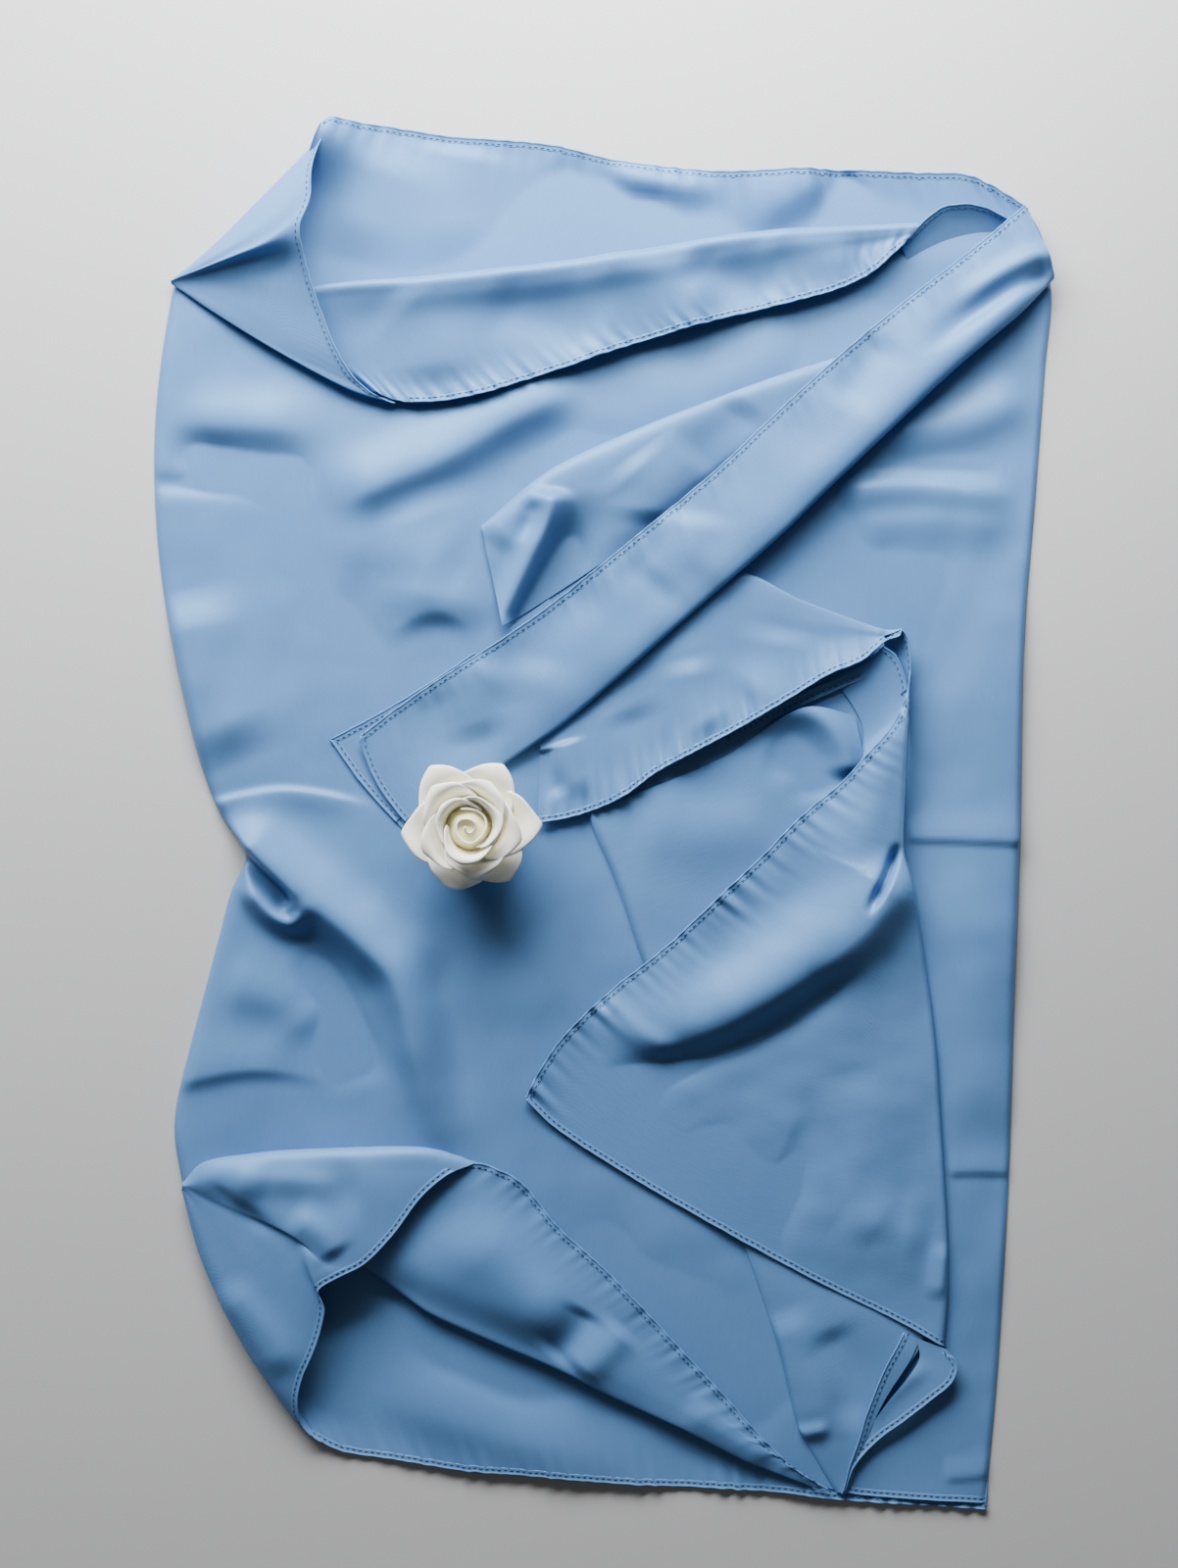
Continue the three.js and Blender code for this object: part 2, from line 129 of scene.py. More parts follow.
# the gathers along a hem: lengths of the short waves and of the clusters they come in, in mm
# calm divides their height and gain multiplies it
gather = {
    "shortest": 5.5, "longest": 13, "waves": 7,
    "clusterShort": 60, "clusterLong": 110, "calm": 3.4, "gain": 1.5,
}
fullTurn = 6.28


def turnedTo(grid, side):  # the grid with one of its sides as the first row
    across = grid.transpose(1, 0, 2)
    return {"first": grid, "last": grid[::-1], "start": across, "end": across[::-1]}[side]


def fromFirstRow(grid):  # distance over the surface from the grid's first row
    steps = np.linalg.norm(np.diff(grid, axis=0), axis=2)
    return np.concatenate([np.zeros((1, steps.shape[1])), np.cumsum(steps, axis=0)])


def fromSide(grid, side):  # distance over the surface from one side of the grid
    gone = fromFirstRow(turnedTo(grid, side))
    return {"first": gone, "last": gone[::-1], "start": gone.T, "end": gone[::-1].T}[side]


def fold(grid, path, height, near, far, ends=(0.25, 0.25)):
    # a soft ridge, or a valley if height is negative; near and far are its widths left and right of the path,
    # ends are the shares of its length over which it comes up and runs out
    line = through([spot(p)[:2] for p in path], 8)
    flat = grid[..., :2].reshape(-1, 2)
    best = np.full(len(flat), 1e9)
    side = np.zeros(len(flat))
    place = np.zeros(len(flat))
    starts = runLength(line)
    lengths = np.linalg.norm(np.diff(line, axis=0), axis=1)
    for k in range(len(line) - 1):
        run = line[k + 1] - line[k]
        share = np.clip(((flat - line[k]) @ run) / max(run @ run, 1e-12), 0, 1)
        off = flat - (line[k] + share[:, None] * run)
        distance = np.linalg.norm(off, axis=1)
        closer = distance < best
        best = np.where(closer, distance, best)
        side = np.where(closer, run[0] * off[:, 1] - run[1] * off[:, 0], side)
        place = np.where(closer, (starts[k] + share * lengths[k]) / starts[-1], place)
    width = np.where(side > 0, near, far) * relief["width"] * mm
    fade = smoothStep(place / max(ends[0], 1e-3)) * smoothStep((1 - place) / max(ends[1], 1e-3))
    lift = height * relief["height"] * mm * np.exp(-(best / width) ** 2) * fade
    grid[..., 2] += lift.reshape(grid.shape[:2])


def bump(grid, point, reach):  # a soft local rise, height in mm as the point's third number
    middle = spot(point)
    away = np.linalg.norm(grid[..., :2] - middle[:2], axis=2)
    grid[..., 2] += middle[2] * np.exp(-(away / (reach * mm)) ** 2)


def ripple(grid, seed, wave, height, count=14):  # gentle unevenness of cloth that was handled
    draw = random.Random(seed)
    total = np.zeros(grid.shape[:2])
    for _ in range(count):
        angle = draw.uniform(0, math.pi)
        size = wave * mm * draw.uniform(0.6, 1.7)
        phase = draw.uniform(0, 2 * math.pi)
        across = grid[..., 0] * math.cos(angle) + grid[..., 1] * math.sin(angle)
        total += np.sin(across * 2 * math.pi / size + phase)
    grid[..., 2] += total / count ** 0.5 * height * mm


def rollDown(grid, side, radius, floor):  # a folded side that turns down onto what it lies on
    away = np.clip(fromSide(grid, side) / (radius * mm), 0, 1)
    share = np.sqrt(1 - (1 - away) ** 2)
    grid[..., 2] = floor * mm + (grid[..., 2] - floor * mm) * share


def pucker(grid, side, seed, height=0.35, reach=14):  # small gathers along a stitched hem
    away = fromSide(grid, side) / mm
    along = runLength(turnedTo(grid, side)[0]) / mm
    draw = random.Random(seed)
    wave = np.zeros(len(along))
    for _ in range(gather["waves"]):
        size = draw.uniform(gather["shortest"], gather["longest"])
        wave += np.sin(along * 2 * math.pi / size + draw.uniform(0, fullTurn))
    spacing = draw.uniform(gather["clusterShort"], gather["clusterLong"])
    cluster = 0.6 + 0.7 * np.sin(along * 2 * math.pi / spacing + draw.uniform(0, fullTurn)) ** 2
    wave = (wave - wave.min()) * cluster / gather["calm"]
    spread = wave[None, :] if side in ("first", "last") else wave[:, None]
    grid[..., 2] += spread * np.exp(-(away / reach) ** 1.5) * height * gather["gain"] * mm


def relax(grid, times, pull=0.6):  # evens out kinks, sides stay
    for _ in range(times):
        middle = (grid[:-2, 1:-1] + grid[2:, 1:-1] + grid[1:-1, :-2] + grid[1:-1, 2:]) / 4
        grid[1:-1, 1:-1] += pull * (middle - grid[1:-1, 1:-1])


def node(tree, kind, **values):
    made = tree.nodes.new(kind)
    for key, value in values.items():
        if key in made.inputs:
            made.inputs[key].default_value = value
        else:
            setattr(made, key, value)
    return made


# thread and relief are in metres, slub and drift are noise scales, gloss is how far the roughness wanders
satin = {
    "light": (0.108, 0.246, 0.512, 1), "dark": (0.084, 0.203, 0.447, 1), "tint": (0.4, 0.95),
    "thread": 0.00042, "relief": 0.0002, "crossing": 0.5,
    "slub": 900.0, "slubStretch": (1.0, 0.12, 1.0), "slubTint": 0.35, "drift": 9.0,
    "roughness": 0.42, "gloss": (0.05, 0.07), "specular": 0.6, "specularTint": (0.46, 0.73, 1.0, 1),
    "sheen": 0.02, "sheenRoughness": 0.35, "sheenTint": (0.75, 0.87, 1.0, 1),
}


def weaveGroup():  # crossing threads and slow colour drift, on the cloth's own run in metres
    group = bpy.data.node_groups.new("satinWeave", "ShaderNodeTree")
    for label, kind in (("Light", "Color"), ("Dark", "Color"), ("Thread", "Float")):
        group.interface.new_socket(label, in_out="INPUT", socket_type="NodeSocket" + kind)
    for label, kind in (("Color", "Color"), ("Height", "Float"), ("Roughness", "Float")):
        group.interface.new_socket(label, in_out="OUTPUT", socket_type="NodeSocket" + kind)
    given = group.nodes.new("NodeGroupInput")
    result = group.nodes.new("NodeGroupOutput")
    link = group.links.new
    run = node(group, "ShaderNodeUVMap", uv_map="ClothRun")
    split = node(group, "ShaderNodeSeparateXYZ")
    link(run.outputs[0], split.inputs[0])
    waves = []
    for axis in (0, 1):
        count = node(group, "ShaderNodeMath", operation="DIVIDE")
        link(split.outputs[axis], count.inputs[0])
        link(given.outputs["Thread"], count.inputs[1])
        turn = node(group, "ShaderNodeMath", operation="MULTIPLY")
        turn.inputs[1].default_value = math.pi
        link(count.outputs[0], turn.inputs[0])
        wave = node(group, "ShaderNodeMath", operation="SINE")
        link(turn.outputs[0], wave.inputs[0])
        waves.append(wave)
    cross = node(group, "ShaderNodeMath", operation="MULTIPLY")
    link(waves[0].outputs[0], cross.inputs[0])
    link(waves[1].outputs[0], cross.inputs[1])
    slub = node(group, "ShaderNodeTexNoise", Scale=satin["slub"], Detail=2.0)
    stretch = node(group, "ShaderNodeMapping")
    stretch.inputs["Scale"].default_value = satin["slubStretch"]
    link(run.outputs[0], stretch.inputs[0])
    link(stretch.outputs[0], slub.inputs["Vector"])
    height = node(group, "ShaderNodeMath", operation="MULTIPLY_ADD")
    height.inputs[1].default_value = satin["crossing"]
    link(cross.outputs[0], height.inputs[0])
    link(slub.outputs["Fac"], height.inputs[2])
    link(height.outputs[0], result.inputs["Height"])
    drift = node(group, "ShaderNodeTexNoise", Scale=satin["drift"], Detail=3.0, Roughness=0.6)
    place = node(group, "ShaderNodeTexCoord")
    link(place.outputs["Object"], drift.inputs["Vector"])
    mixed = node(group, "ShaderNodeMath", operation="MULTIPLY_ADD")
    mixed.inputs[1].default_value = satin["slubTint"]
    link(slub.outputs["Fac"], mixed.inputs[0])
    link(drift.outputs["Fac"], mixed.inputs[2])
    spread = node(group, "ShaderNodeMapRange")
    spread.inputs["From Min"].default_value = satin["tint"][0]
    spread.inputs["From Max"].default_value = satin["tint"][1]
    link(mixed.outputs[0], spread.inputs["Value"])
    tint = node(group, "ShaderNodeMix", data_type="RGBA")
    link(spread.outputs["Result"], tint.inputs["Factor"])
    link(given.outputs["Dark"], tint.inputs[6])
    link(given.outputs["Light"], tint.inputs[7])
    link(tint.outputs[2], result.inputs["Color"])
    gloss = node(group, "ShaderNodeMapRange")
    gloss.inputs["To Min"].default_value = satin["roughness"] - satin["gloss"][0]
    gloss.inputs["To Max"].default_value = satin["roughness"] + satin["gloss"][1]
    link(slub.outputs["Fac"], gloss.inputs["Value"])
    link(gloss.outputs["Result"], result.inputs["Roughness"])
    return group


def satinCloth(name, group, tone=1.0, bump=0.25):
    material = bpy.data.materials.new(name)
    material.use_nodes = True
    tree = material.node_tree
    shader = tree.nodes["Principled BSDF"]
    weave = node(tree, "ShaderNodeGroup")
    weave.node_tree = group
    weave.inputs["Light"].default_value = tuple(c * tone for c in satin["light"][:3]) + (1,)
    weave.inputs["Dark"].default_value = tuple(c * tone for c in satin["dark"][:3]) + (1,)
    weave.inputs["Thread"].default_value = satin["thread"]
    relief = node(tree, "ShaderNodeBump", Strength=bump, Distance=satin["relief"])
    tree.links.new(weave.outputs["Height"], relief.inputs["Height"])
    tree.links.new(weave.outputs["Color"], shader.inputs["Base Color"])
    tree.links.new(weave.outputs["Roughness"], shader.inputs["Roughness"])
    tree.links.new(relief.outputs["Normal"], shader.inputs["Normal"])
    shader.inputs["Sheen Weight"].default_value = satin["sheen"]
    shader.inputs["Sheen Roughness"].default_value = satin["sheenRoughness"]
    shader.inputs["Sheen Tint"].default_value = satin["sheenTint"]
    shader.inputs["Specular IOR Level"].default_value = satin["specular"]
    shader.inputs["Specular Tint"].default_value = satin["specularTint"]
    return material


print("materials")
weave = weaveGroup()
clothMaterial = satinCloth("satin cloth", weave)
hemMaterial = satinCloth("satin hem", weave, tone=1.03, bump=0.15)
# the stitch beads get a third of the cloth's tone: painted shade of the needle holes, the thread itself is
# pale
stitchShadeMaterial = satinCloth("hem stitch painted shade", weave, tone=0.34, bump=0.1)

made = {}


def meshFrom(name, points, faces):
    mesh = bpy.data.meshes.new(name)
    mesh.from_pydata(points, [], faces)
    mesh.update()
    return mesh


def pieceFrom(mesh, runOf, skin=None):  # runOf gives a vertex's place in the ClothRun map
    run = mesh.uv_layers.new(name="ClothRun")
    for corner in mesh.loops:
        run.data[corner.index].uv = runOf(corner.vertex_index)
    if skin:
        mesh.polygons.foreach_set("use_smooth", [True] * len(mesh.polygons))
        mesh.materials.append(skin)
    piece = bpy.data.objects.new(mesh.name, mesh)
    scene.collection.objects.link(piece)
    return piece


def clothFrom(name, grid, nodes, flat, held="folded"):
    rows, columns = grid.shape[:2]
    faces = []
    for i in range(rows - 1):
        for j in range(columns - 1):
            first = i * columns + j
            faces.append((first, first + columns, first + columns + 1, first + 1))
    mesh = meshFrom(name, grid.reshape(-1, 3).tolist(), faces)
    if sum(p.normal.z * p.area for p in mesh.polygons) < 0:
        mesh.flip_normals()
    down = fromSide(grid, "first")
    over = fromSide(grid, "start")
    run = np.stack([over, down], axis=2).reshape(-1, 2)
    piece = pieceFrom(mesh, lambda vertex: run[vertex], clothMaterial)
    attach(piece, "cloth")
    if nodes:
        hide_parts(*nodes)
    made[name] = {"piece": piece, "grid": grid, "flat": flat, "held": held, "extras": []}


# in mm, except swell, a share of the height, and outerSpan, the span of the section that looks up
hem = {
    "step": 1.6, "grip": 3, "seam": 2.2, "seamLift": 0.16, "wander": 0.2, "swell": 0.3, "outerSpan": 4,
    "stitchPitch": 3.3, "stitchLength": 2.1, "stitchThick": 0.66,
}
# across the hem: distance in from the edge and height off the cloth, both in mm
hemSection = [
    (3.4, -0.03), (3.0, 0.08), (2.6, 0.13), (2.2, 0.08), (1.8, 0.13), (1.1, 0.15), (0.7, 0.20), (0.45, 0.46),
    (0.1, 0.55), (-0.22, 0.36), (-0.30, 0.0), (0, -0.3), (0.6, -0.4), (2.8, -0.4), (3.3, -0.25),
]
stitchPaths = []


def unit(vectors):
    return vectors / (np.linalg.norm(vectors, axis=1)[:, None] + 1e-12)


def hemLines(cloth, side, span):  # lines of the cloth that run in from one side, at even steps along it
    turned = turnedTo(made[cloth]["grid"], side)
    along = runLength(turned[0])
    length = along[-1] * (span[1] - span[0])
    count = max(8, int(length / (hem["step"] * mm)))
    wanted = np.linspace(span[0], span[1], count + 1) * along[-1]
    index = np.interp(wanted, along, np.arange(len(along)))
    low = np.minimum(index.astype(int), len(along) - 2)
    share = (index - low)[None, :, None]
    return turned[:, low] * (1 - share) + turned[:, low + 1] * share, length


def hemOn(name, cloth, side, span=(0, 1), seed=1):  # a turned edge along part of one side, span in shares
    lines, length = hemLines(cloth, side, span)
    count = lines.shape[1] - 1
    depth = fromFirstRow(lines)

    def inside(distances):  # the cloth's points at a distance in from the edge, one for each step
        return np.array([
            [np.interp(distances[k], depth[:, k], lines[:, k, axis]) for axis in range(3)]
            for k in range(count + 1)
        ])

    tangent = unit(np.gradient(lines[0], axis=0))
    inward = unit(inside(np.full(count + 1, hem["grip"] * mm)) - lines[0])
    square = inward - (inward * tangent).sum(1)[:, None] * tangent
    slant = 1 / np.clip(np.linalg.norm(square, axis=1), 0.5, 1)
    up = np.cross(tangent, unit(square))
    if up[:, 2].mean() < 0:
        up = -up
    for _ in range(4):
        up[1:-1] = (up[:-2] + up[1:-1] * 2 + up[2:]) / 4
    draw = random.Random(seed)
    run = np.linspace(0, length / mm, count + 1)
    waves = [np.sin(run * 2 * math.pi / draw.uniform(5, 26) + draw.uniform(0, fullTurn)) for _ in range(6)]
    wobble = sum(waves) / len(waves)
    ring = []
    for inset, rise in hemSection + [(hem["seam"], hem["seamLift"])]:
        wide = (inset + hem["wander"] * wobble) * slant * mm
        place = inside(np.maximum(wide, 0))
        place += inward * np.minimum(wide, 0)[:, None]
        ring.append(place + up * (rise * (1 + hem["swell"] * wobble)[:, None]) * mm)
    stitchPaths.append(ring.pop())
    ring = np.array(ring)
    sections, steps = ring.shape[:2]
    faces = []
    for i in range(sections):
        for j in range(steps - 1):
            k = (i + 1) % sections
            faces.append((i * steps + j, i * steps + j + 1, k * steps + j + 1, k * steps + j))
    faces.append(tuple(i * steps for i in range(sections)))
    faces.append(tuple(i * steps + steps - 1 for i in reversed(range(sections))))
    mesh = meshFrom(name, ring.reshape(-1, 3).tolist(), faces)
    middle = ring.mean(axis=0)[steps // 2]
    outer = mesh.polygons[(steps - 1) * hem["outerSpan"] + steps // 2]
    if outer.normal.dot(outer.center - Vector(middle)) < 0:
        mesh.flip_normals()
    piece = pieceFrom(
        mesh, lambda vertex: (run[vertex % steps] * mm, hemSection[vertex // steps][0] * mm), hemMaterial,
    )
    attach(piece, "cloth")
    made[cloth]["extras"].append(piece)


def stitchTree():  # beads of thread along a curve
    tree = bpy.data.node_groups.new("lockstitch", "GeometryNodeTree")
    face = tree.interface
    face.new_socket("Geometry", in_out="INPUT", socket_type="NodeSocketGeometry")
    sizes = {}
    for label in ("Pitch", "Length", "Thickness"):
        sizes[label] = face.new_socket(label, in_out="INPUT", socket_type="NodeSocketFloat")
    face.new_socket("Geometry", in_out="OUTPUT", socket_type="NodeSocketGeometry")
    given = tree.nodes.new("NodeGroupInput")
    result = tree.nodes.new("NodeGroupOutput")
    places = node(tree, "GeometryNodeCurveToPoints", mode="LENGTH")
    bead = node(tree, "GeometryNodeMeshUVSphere", Segments=6, Rings=5, Radius=0.5)
    size = tree.nodes.new("ShaderNodeCombineXYZ")
    shaped = tree.nodes.new("GeometryNodeTransform")
    row = tree.nodes.new("GeometryNodeInstanceOnPoints")
    real = tree.nodes.new("GeometryNodeRealizeInstances")
    smooth = tree.nodes.new("GeometryNodeSetShadeSmooth")
    # the stitches' dark colour is painted shade of the needle holes
    paint = node(tree, "GeometryNodeSetMaterial", Material=stitchShadeMaterial)
    wires = [
        (given, "Geometry", places, "Curve"), (given, "Pitch", places, "Length"),
        (given, "Thickness", size, "X"), (given, "Thickness", size, "Y"), (given, "Length", size, "Z"),
        (bead, "Mesh", shaped, "Geometry"), (size, "Vector", shaped, "Scale"),
        (places, "Points", row, "Points"), (shaped, "Geometry", row, "Instance"),
        (places, "Rotation", row, "Rotation"),
        (row, "Instances", real, "Geometry"), (real, "Geometry", smooth, "Geometry"),
        (smooth, "Geometry", paint, "Geometry"), (paint, "Geometry", result, "Geometry"),
    ]
    for source, output, target, socket in wires:
        tree.links.new(source.outputs[output], target.inputs[socket])
    return tree, sizes


def sewHems():
    tree, sizes = stitchTree()
    curve = bpy.data.curves.new("stitch lines", "CURVE")
    curve.dimensions = "3D"
    for path in stitchPaths:
        spline = curve.splines.new("POLY")
        spline.points.add(len(path) - 1)
        spline.points.foreach_set("co", np.concatenate([path, np.ones((len(path), 1))], axis=1).ravel())
    holder = bpy.data.objects.new("stitch lines", curve)
    scene.collection.objects.link(holder)
    sewing = holder.modifiers.new("stitches", "NODES")
    sewing.node_group = tree
    for label, key in (("Pitch", "stitchPitch"), ("Length", "stitchLength"), ("Thickness", "stitchThick")):
        sewing[sizes[label].identifier] = hem[key] * mm
    shown = bpy.context.evaluated_depsgraph_get()
    mesh = bpy.data.meshes.new_from_object(holder.evaluated_get(shown), depsgraph=shown)
    holder.modifiers.remove(sewing)
    bpy.data.objects.remove(holder)
    mesh.name = "hem_stitching"
    piece = pieceFrom(mesh, lambda vertex: mesh.vertices[vertex].co[:2])
    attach(piece, "cloth")


print("flat layers")
backEdge = {
    "top": [(-0.63, 0.972, 1.5), (-0.604, 0.996, 1.6), (-0.543, 0.997, 1.6), (-0.485, 0.996, 1.6),
        (-0.343, 0.984, 1.6), (-0.224, 0.978, 2), (-0.122, 0.972, 1.6), (0.063, 0.945, 1.6),
        (0.28, 0.933, 1.8), (0.513, 0.936, 1.8), (0.682, 0.931, 2.4), (0.801, 0.928, 3),
        (0.865, 0.909, 4), (0.928, 0.882, 6)],
    "right": [(0.928, 0.882, 6), (0.969, 0.838, 4), (0.986, 0.773, 1.5), (0.972, 0.652, 0.8),
        (0.952, 0.469, 0.8), (0.922, 0.108, 0.8), (0.907, -0.162, 0.8), (0.891, -0.509, 0.8),
        (0.863, -0.856, 0.8), (0.846, -0.995, 0.8)],
    "bottom": [(-0.647, -0.889, 2.2), (-0.578, -0.911, 1.6), (-0.459, -0.923, 1), (-0.313, -0.938, 1),
        (-0.17, -0.945, 1), (0.059, -0.958, 1), (0.237, -0.964, 1), (0.402, -0.971, 1),
        (0.522, -0.981, 1), (0.685, -0.988, 1), (0.846, -0.995, 0.8)],
    "left": [(-0.63, 0.972, 1.5), (-0.72, 0.859, 0.8), (-0.844, 0.746, 0.8), (-0.9, 0.618, 0.8),
        (-0.915, 0.476, 0.8), (-0.891, 0.278, 0.8), (-0.835, 0.122, 0.8), (-0.709, -0.042, 0.8),
        (-0.739, -0.098, 0.8), (-0.796, -0.232, 0.8), (-0.857, -0.374, 0.8), (-0.852, -0.516, 0.8),
        (-0.8, -0.686, 0.8), (-0.709, -0.806, 0.8), (-0.647, -0.889, 2.2)],
}
back = patch(backEdge, 150, 230)
bump(back, (-0.622, 0.978, 17), 19)
bump(back, (-0.556, 1.002, 3), 30)
backCreases = [
    ([(-0.035, 0.939), (0.013, 0.906), (0.085, 0.889), (0.194, 0.891)], -2.2, 9, 12, (0.3, 0.4)),
    ([(-0.009, 0.95), (0.052, 0.923), (0.139, 0.912), (0.292, 0.908)], 2.6, 9, 9, (0.3, 0.4)),
    ([(-0.104, 0.956), (-0.067, 0.902), (-0.009, 0.843)], -1.3, 11, 16, (0.3, 0.4)),
    ([(0.509, 0.933), (0.4, 0.895), (0.27, 0.845)], 3.2, 14, 24, (0.3, 0.5)),
    ([(0.553, 0.933), (0.509, 0.881), (0.466, 0.845)], -2, 10, 12, (0.1, 0.5)),
    ([(-0.47, 0.987), (-0.513, 0.902), (-0.579, 0.789)], 2.4, 30, 22, (0.3, 0.4)),
    ([(-0.318, 0.973), (-0.339, 0.888), (-0.318, 0.789)], 1.5, 25, 25, (0.1, 0.4)),
    ([(-0.59, -0.8), (-0.296, -0.871), (0.183, -0.942)], 2.2, 30, 20, (0.3, 0.4)),
    ([(-0.426, -0.715), (-0.252, -0.786), (-0.035, -0.828)], -1.5, 20, 20, (0.3, 0.4)),
]
for crease in backCreases:
    fold(back, *crease)
ripple(back, 3, 70, 0.35)
pucker(back, "first", 5, 0.5, 12)
pucker(back, "last", 6, 0.5, 12)
back[..., 2] = np.maximum(back[..., 2], 0.6 * mm)
clothFrom("back_layer_cloth", back, ["back_layer"], flat=(0.476, 0.735, 0.3), held="laid")
hemOn("hem_top", "back_layer_cloth", "first", (0.03, 1), 11)
hemOn("hem_bottom", "back_layer_cloth", "last", (0, 1), 12)

frontEdge = {
    "top": [(-0.953, 0.771, 5), (-0.794, 0.763, 3), (-0.643, 0.759, 2.6), (-0.373, 0.769, 2.6),
        (0.052, 0.8, 2.6), (0.312, 0.829, 2.6), (0.696, 0.843, 3), (0.914, 0.862, 5)],
    "right": [(0.914, 0.862, 5), (0.961, 0.824, 6), (0.991, 0.769, 4), (0.978, 0.651, 3),
        (0.957, 0.468, 2.8), (0.933, 0.26, 2.8), (0.924, -0.031, 2.8), (0.911, -0.26, 2.8),
        (0.898, -0.508, 2.8), (0.872, -0.798, 2.8), (0.846, -0.985, 2.6)],
    "bottom": [(-0.936, -0.519, 5), (-0.772, -0.578, 3.6), (-0.536, -0.636, 3.2), (-0.371, -0.72, 3.2),
        (0.011, -0.826, 3), (0.328, -0.925, 2.8), (0.523, -0.968, 2.6), (0.682, -0.979, 2.4),
        (0.846, -0.985, 2.6)],
    "left": [(-0.953, 0.771, 5), (-0.979, 0.672, 5), (-0.994, 0.574, 5), (-0.996, 0.485, 5),
        (-0.986, 0.381, 5), (-0.96, 0.263, 5), (-0.927, 0.161, 5), (-0.895, 0.082, 5),
        (-0.849, 0.006, 5), (-0.793, -0.052, 5), (-0.825, -0.103, 5), (-0.849, -0.161, 5),
        (-0.877, -0.231, 5), (-0.914, -0.322, 5), (-0.947, -0.412, 5), (-0.951, -0.457, 5),
        (-0.936, -0.519, 5)],
}
front = patch(frontEdge, 270, 340)
frontCreases = [
    # soft diagonal waves under the collar and over the left half
    (
        [(-0.622, 0.448), (-0.47, 0.488), (-0.339, 0.526), (-0.209, 0.576), (-0.035, 0.63)],
        4.4, 22, 13, (0.2, 0.2),
    ),
    ([(-0.992, 0.579), (-0.872, 0.57), (-0.731, 0.567), (-0.59, 0.553)], 2.5, 20, 12, (0.35, 0.4)),
    ([(-0.97, 0.548), (-0.818, 0.508), (-0.622, 0.491)], -1.8, 14, 14),
    ([(-1.001, 0.484), (-0.905, 0.482), (-0.79, 0.482)], -1.0, 6, 6, (0.02, 0.4)),
    ([(-0.927, 0.335), (-0.872, 0.193), (-0.796, 0.079)], 3, 26, 40),
    ([(-0.5, 0.255), (-0.426, 0.292), (-0.348, 0.301), (-0.261, 0.264)], 2.0, 20, 8, (0.4, 0.4)),
    ([(-0.622, 0.391), (-0.47, 0.391), (-0.318, 0.349)], 1.5, 24, 20),
    ([(-0.165, 0.618), (0.052, 0.59), (0.313, 0.647), (0.466, 0.718)], 1.2, 25, 20),
    ([(-0.426, 0.477), (-0.383, 0.391), (-0.405, 0.278)], 1.6, 30, 26),
    # the crossing crease, the tucked fold and the long ridge below the notch
    (
        [(-0.879, 0.018), (-0.79, 0.033), (-0.709, 0.04), (-0.622, 0.034), (-0.496, 0.014)],
        1.15, 2.6, 11, (0.02, 0.3),
    ),
    (
        [(-0.849, 0.003), (-0.759, -0.051), (-0.688, -0.094), (-0.609, -0.133), (-0.524, -0.179),
         (-0.463, -0.221), (-0.435, -0.264), (-0.413, -0.329), (-0.392, -0.391), (-0.37, -0.502),
         (-0.357, -0.573)],
        7.0, 19, 13, (0.1, 0.42),
    ),
    ([(-0.796, -0.051), (-0.753, -0.081), (-0.714, -0.106), (-0.69, -0.128)], -6.5, 3.6, 4.2, (0.02, 0.2)),
    (
        [(-0.809, -0.077), (-0.77, -0.111), (-0.727, -0.139), (-0.69, -0.148), (-0.664, -0.133),
         (-0.674, -0.111)],
        3.2, 4.5, 7, (0.3, 0.3),
    ),
    ([(-0.688, -0.187), (-0.614, -0.233), (-0.553, -0.304), (-0.505, -0.389)], -2.0, 10, 26, (0.3, 0.3)),
    ([(-0.405, -0.176), (-0.366, -0.247), (-0.335, -0.346), (-0.313, -0.445)], -1.3, 12, 16, (0.3, 0.3)),
    ([(-0.955, -0.377), (-0.77, -0.357), (-0.57, -0.377)], 1.3, 20, 6, (0.02, 0.55)),
    ([(-0.862, -0.233), (-0.709, -0.261), (-0.622, -0.318)], 1.6, 18, 16),
    ([(-0.361, -0.218), (-0.165, -0.247), (-0.035, -0.218)], 0.8, 26, 22),
    # right hand strip
    ([(0.5, 0.47), (0.705, 0.477), (0.931, 0.457)], 3, 9, 13, (0.2, 0.3)),
    ([(0.531, 0.42), (0.727, 0.427), (0.923, 0.413)], 1.6, 10, 14, (0.2, 0.3)),
    ([(0.574, 0.555), (0.748, 0.562), (0.966, 0.618)], 2.4, 14, 14),
    ([(0.664, -0.026), (0.792, -0.028), (0.927, -0.031)], 0.9, 16, 2.6, (0.05, 0.03)),
    ([(0.755, -0.508), (0.835, -0.506), (0.901, -0.509)], 0.7, 14, 2.6, (0.15, 0.03)),
    ([(0.748, -0.949), (0.814, -0.946), (0.859, -0.94)], 0.5, 10, 2.6, (0.2, 0.03)),
    ([(0.914, 0.413), (0.909, 0.193), (0.892, -0.091), (0.866, -0.488)], 2.0, 9, 40, (0.15, 0.5)),
    ([(0.814, -0.062), (0.835, -0.233), (0.835, -0.488)], 1.5, 24, 24),
    ([(-0.122, -0.573), (0.139, -0.715), (0.379, -0.899)], -1.2, 30, 26),
]
for crease in frontCreases:
    fold(front, *crease)
ripple(front, 8, 95, 0.5)
ripple(front, 9, 38, 0.12)
front[..., 2] = np.maximum(front[..., 2], 2.2 * mm)
rollDown(front, "start", 9, 0.8)
rollDown(front, "end", 4, 1.0)
clothFrom("front_layer_cloth", front, ["front_layer"], flat=(0.476, 0.685, 0.263), held="laid")
hemOn("hem_front_bottom_right", "front_layer_cloth", "last", (0.83, 1), 13)

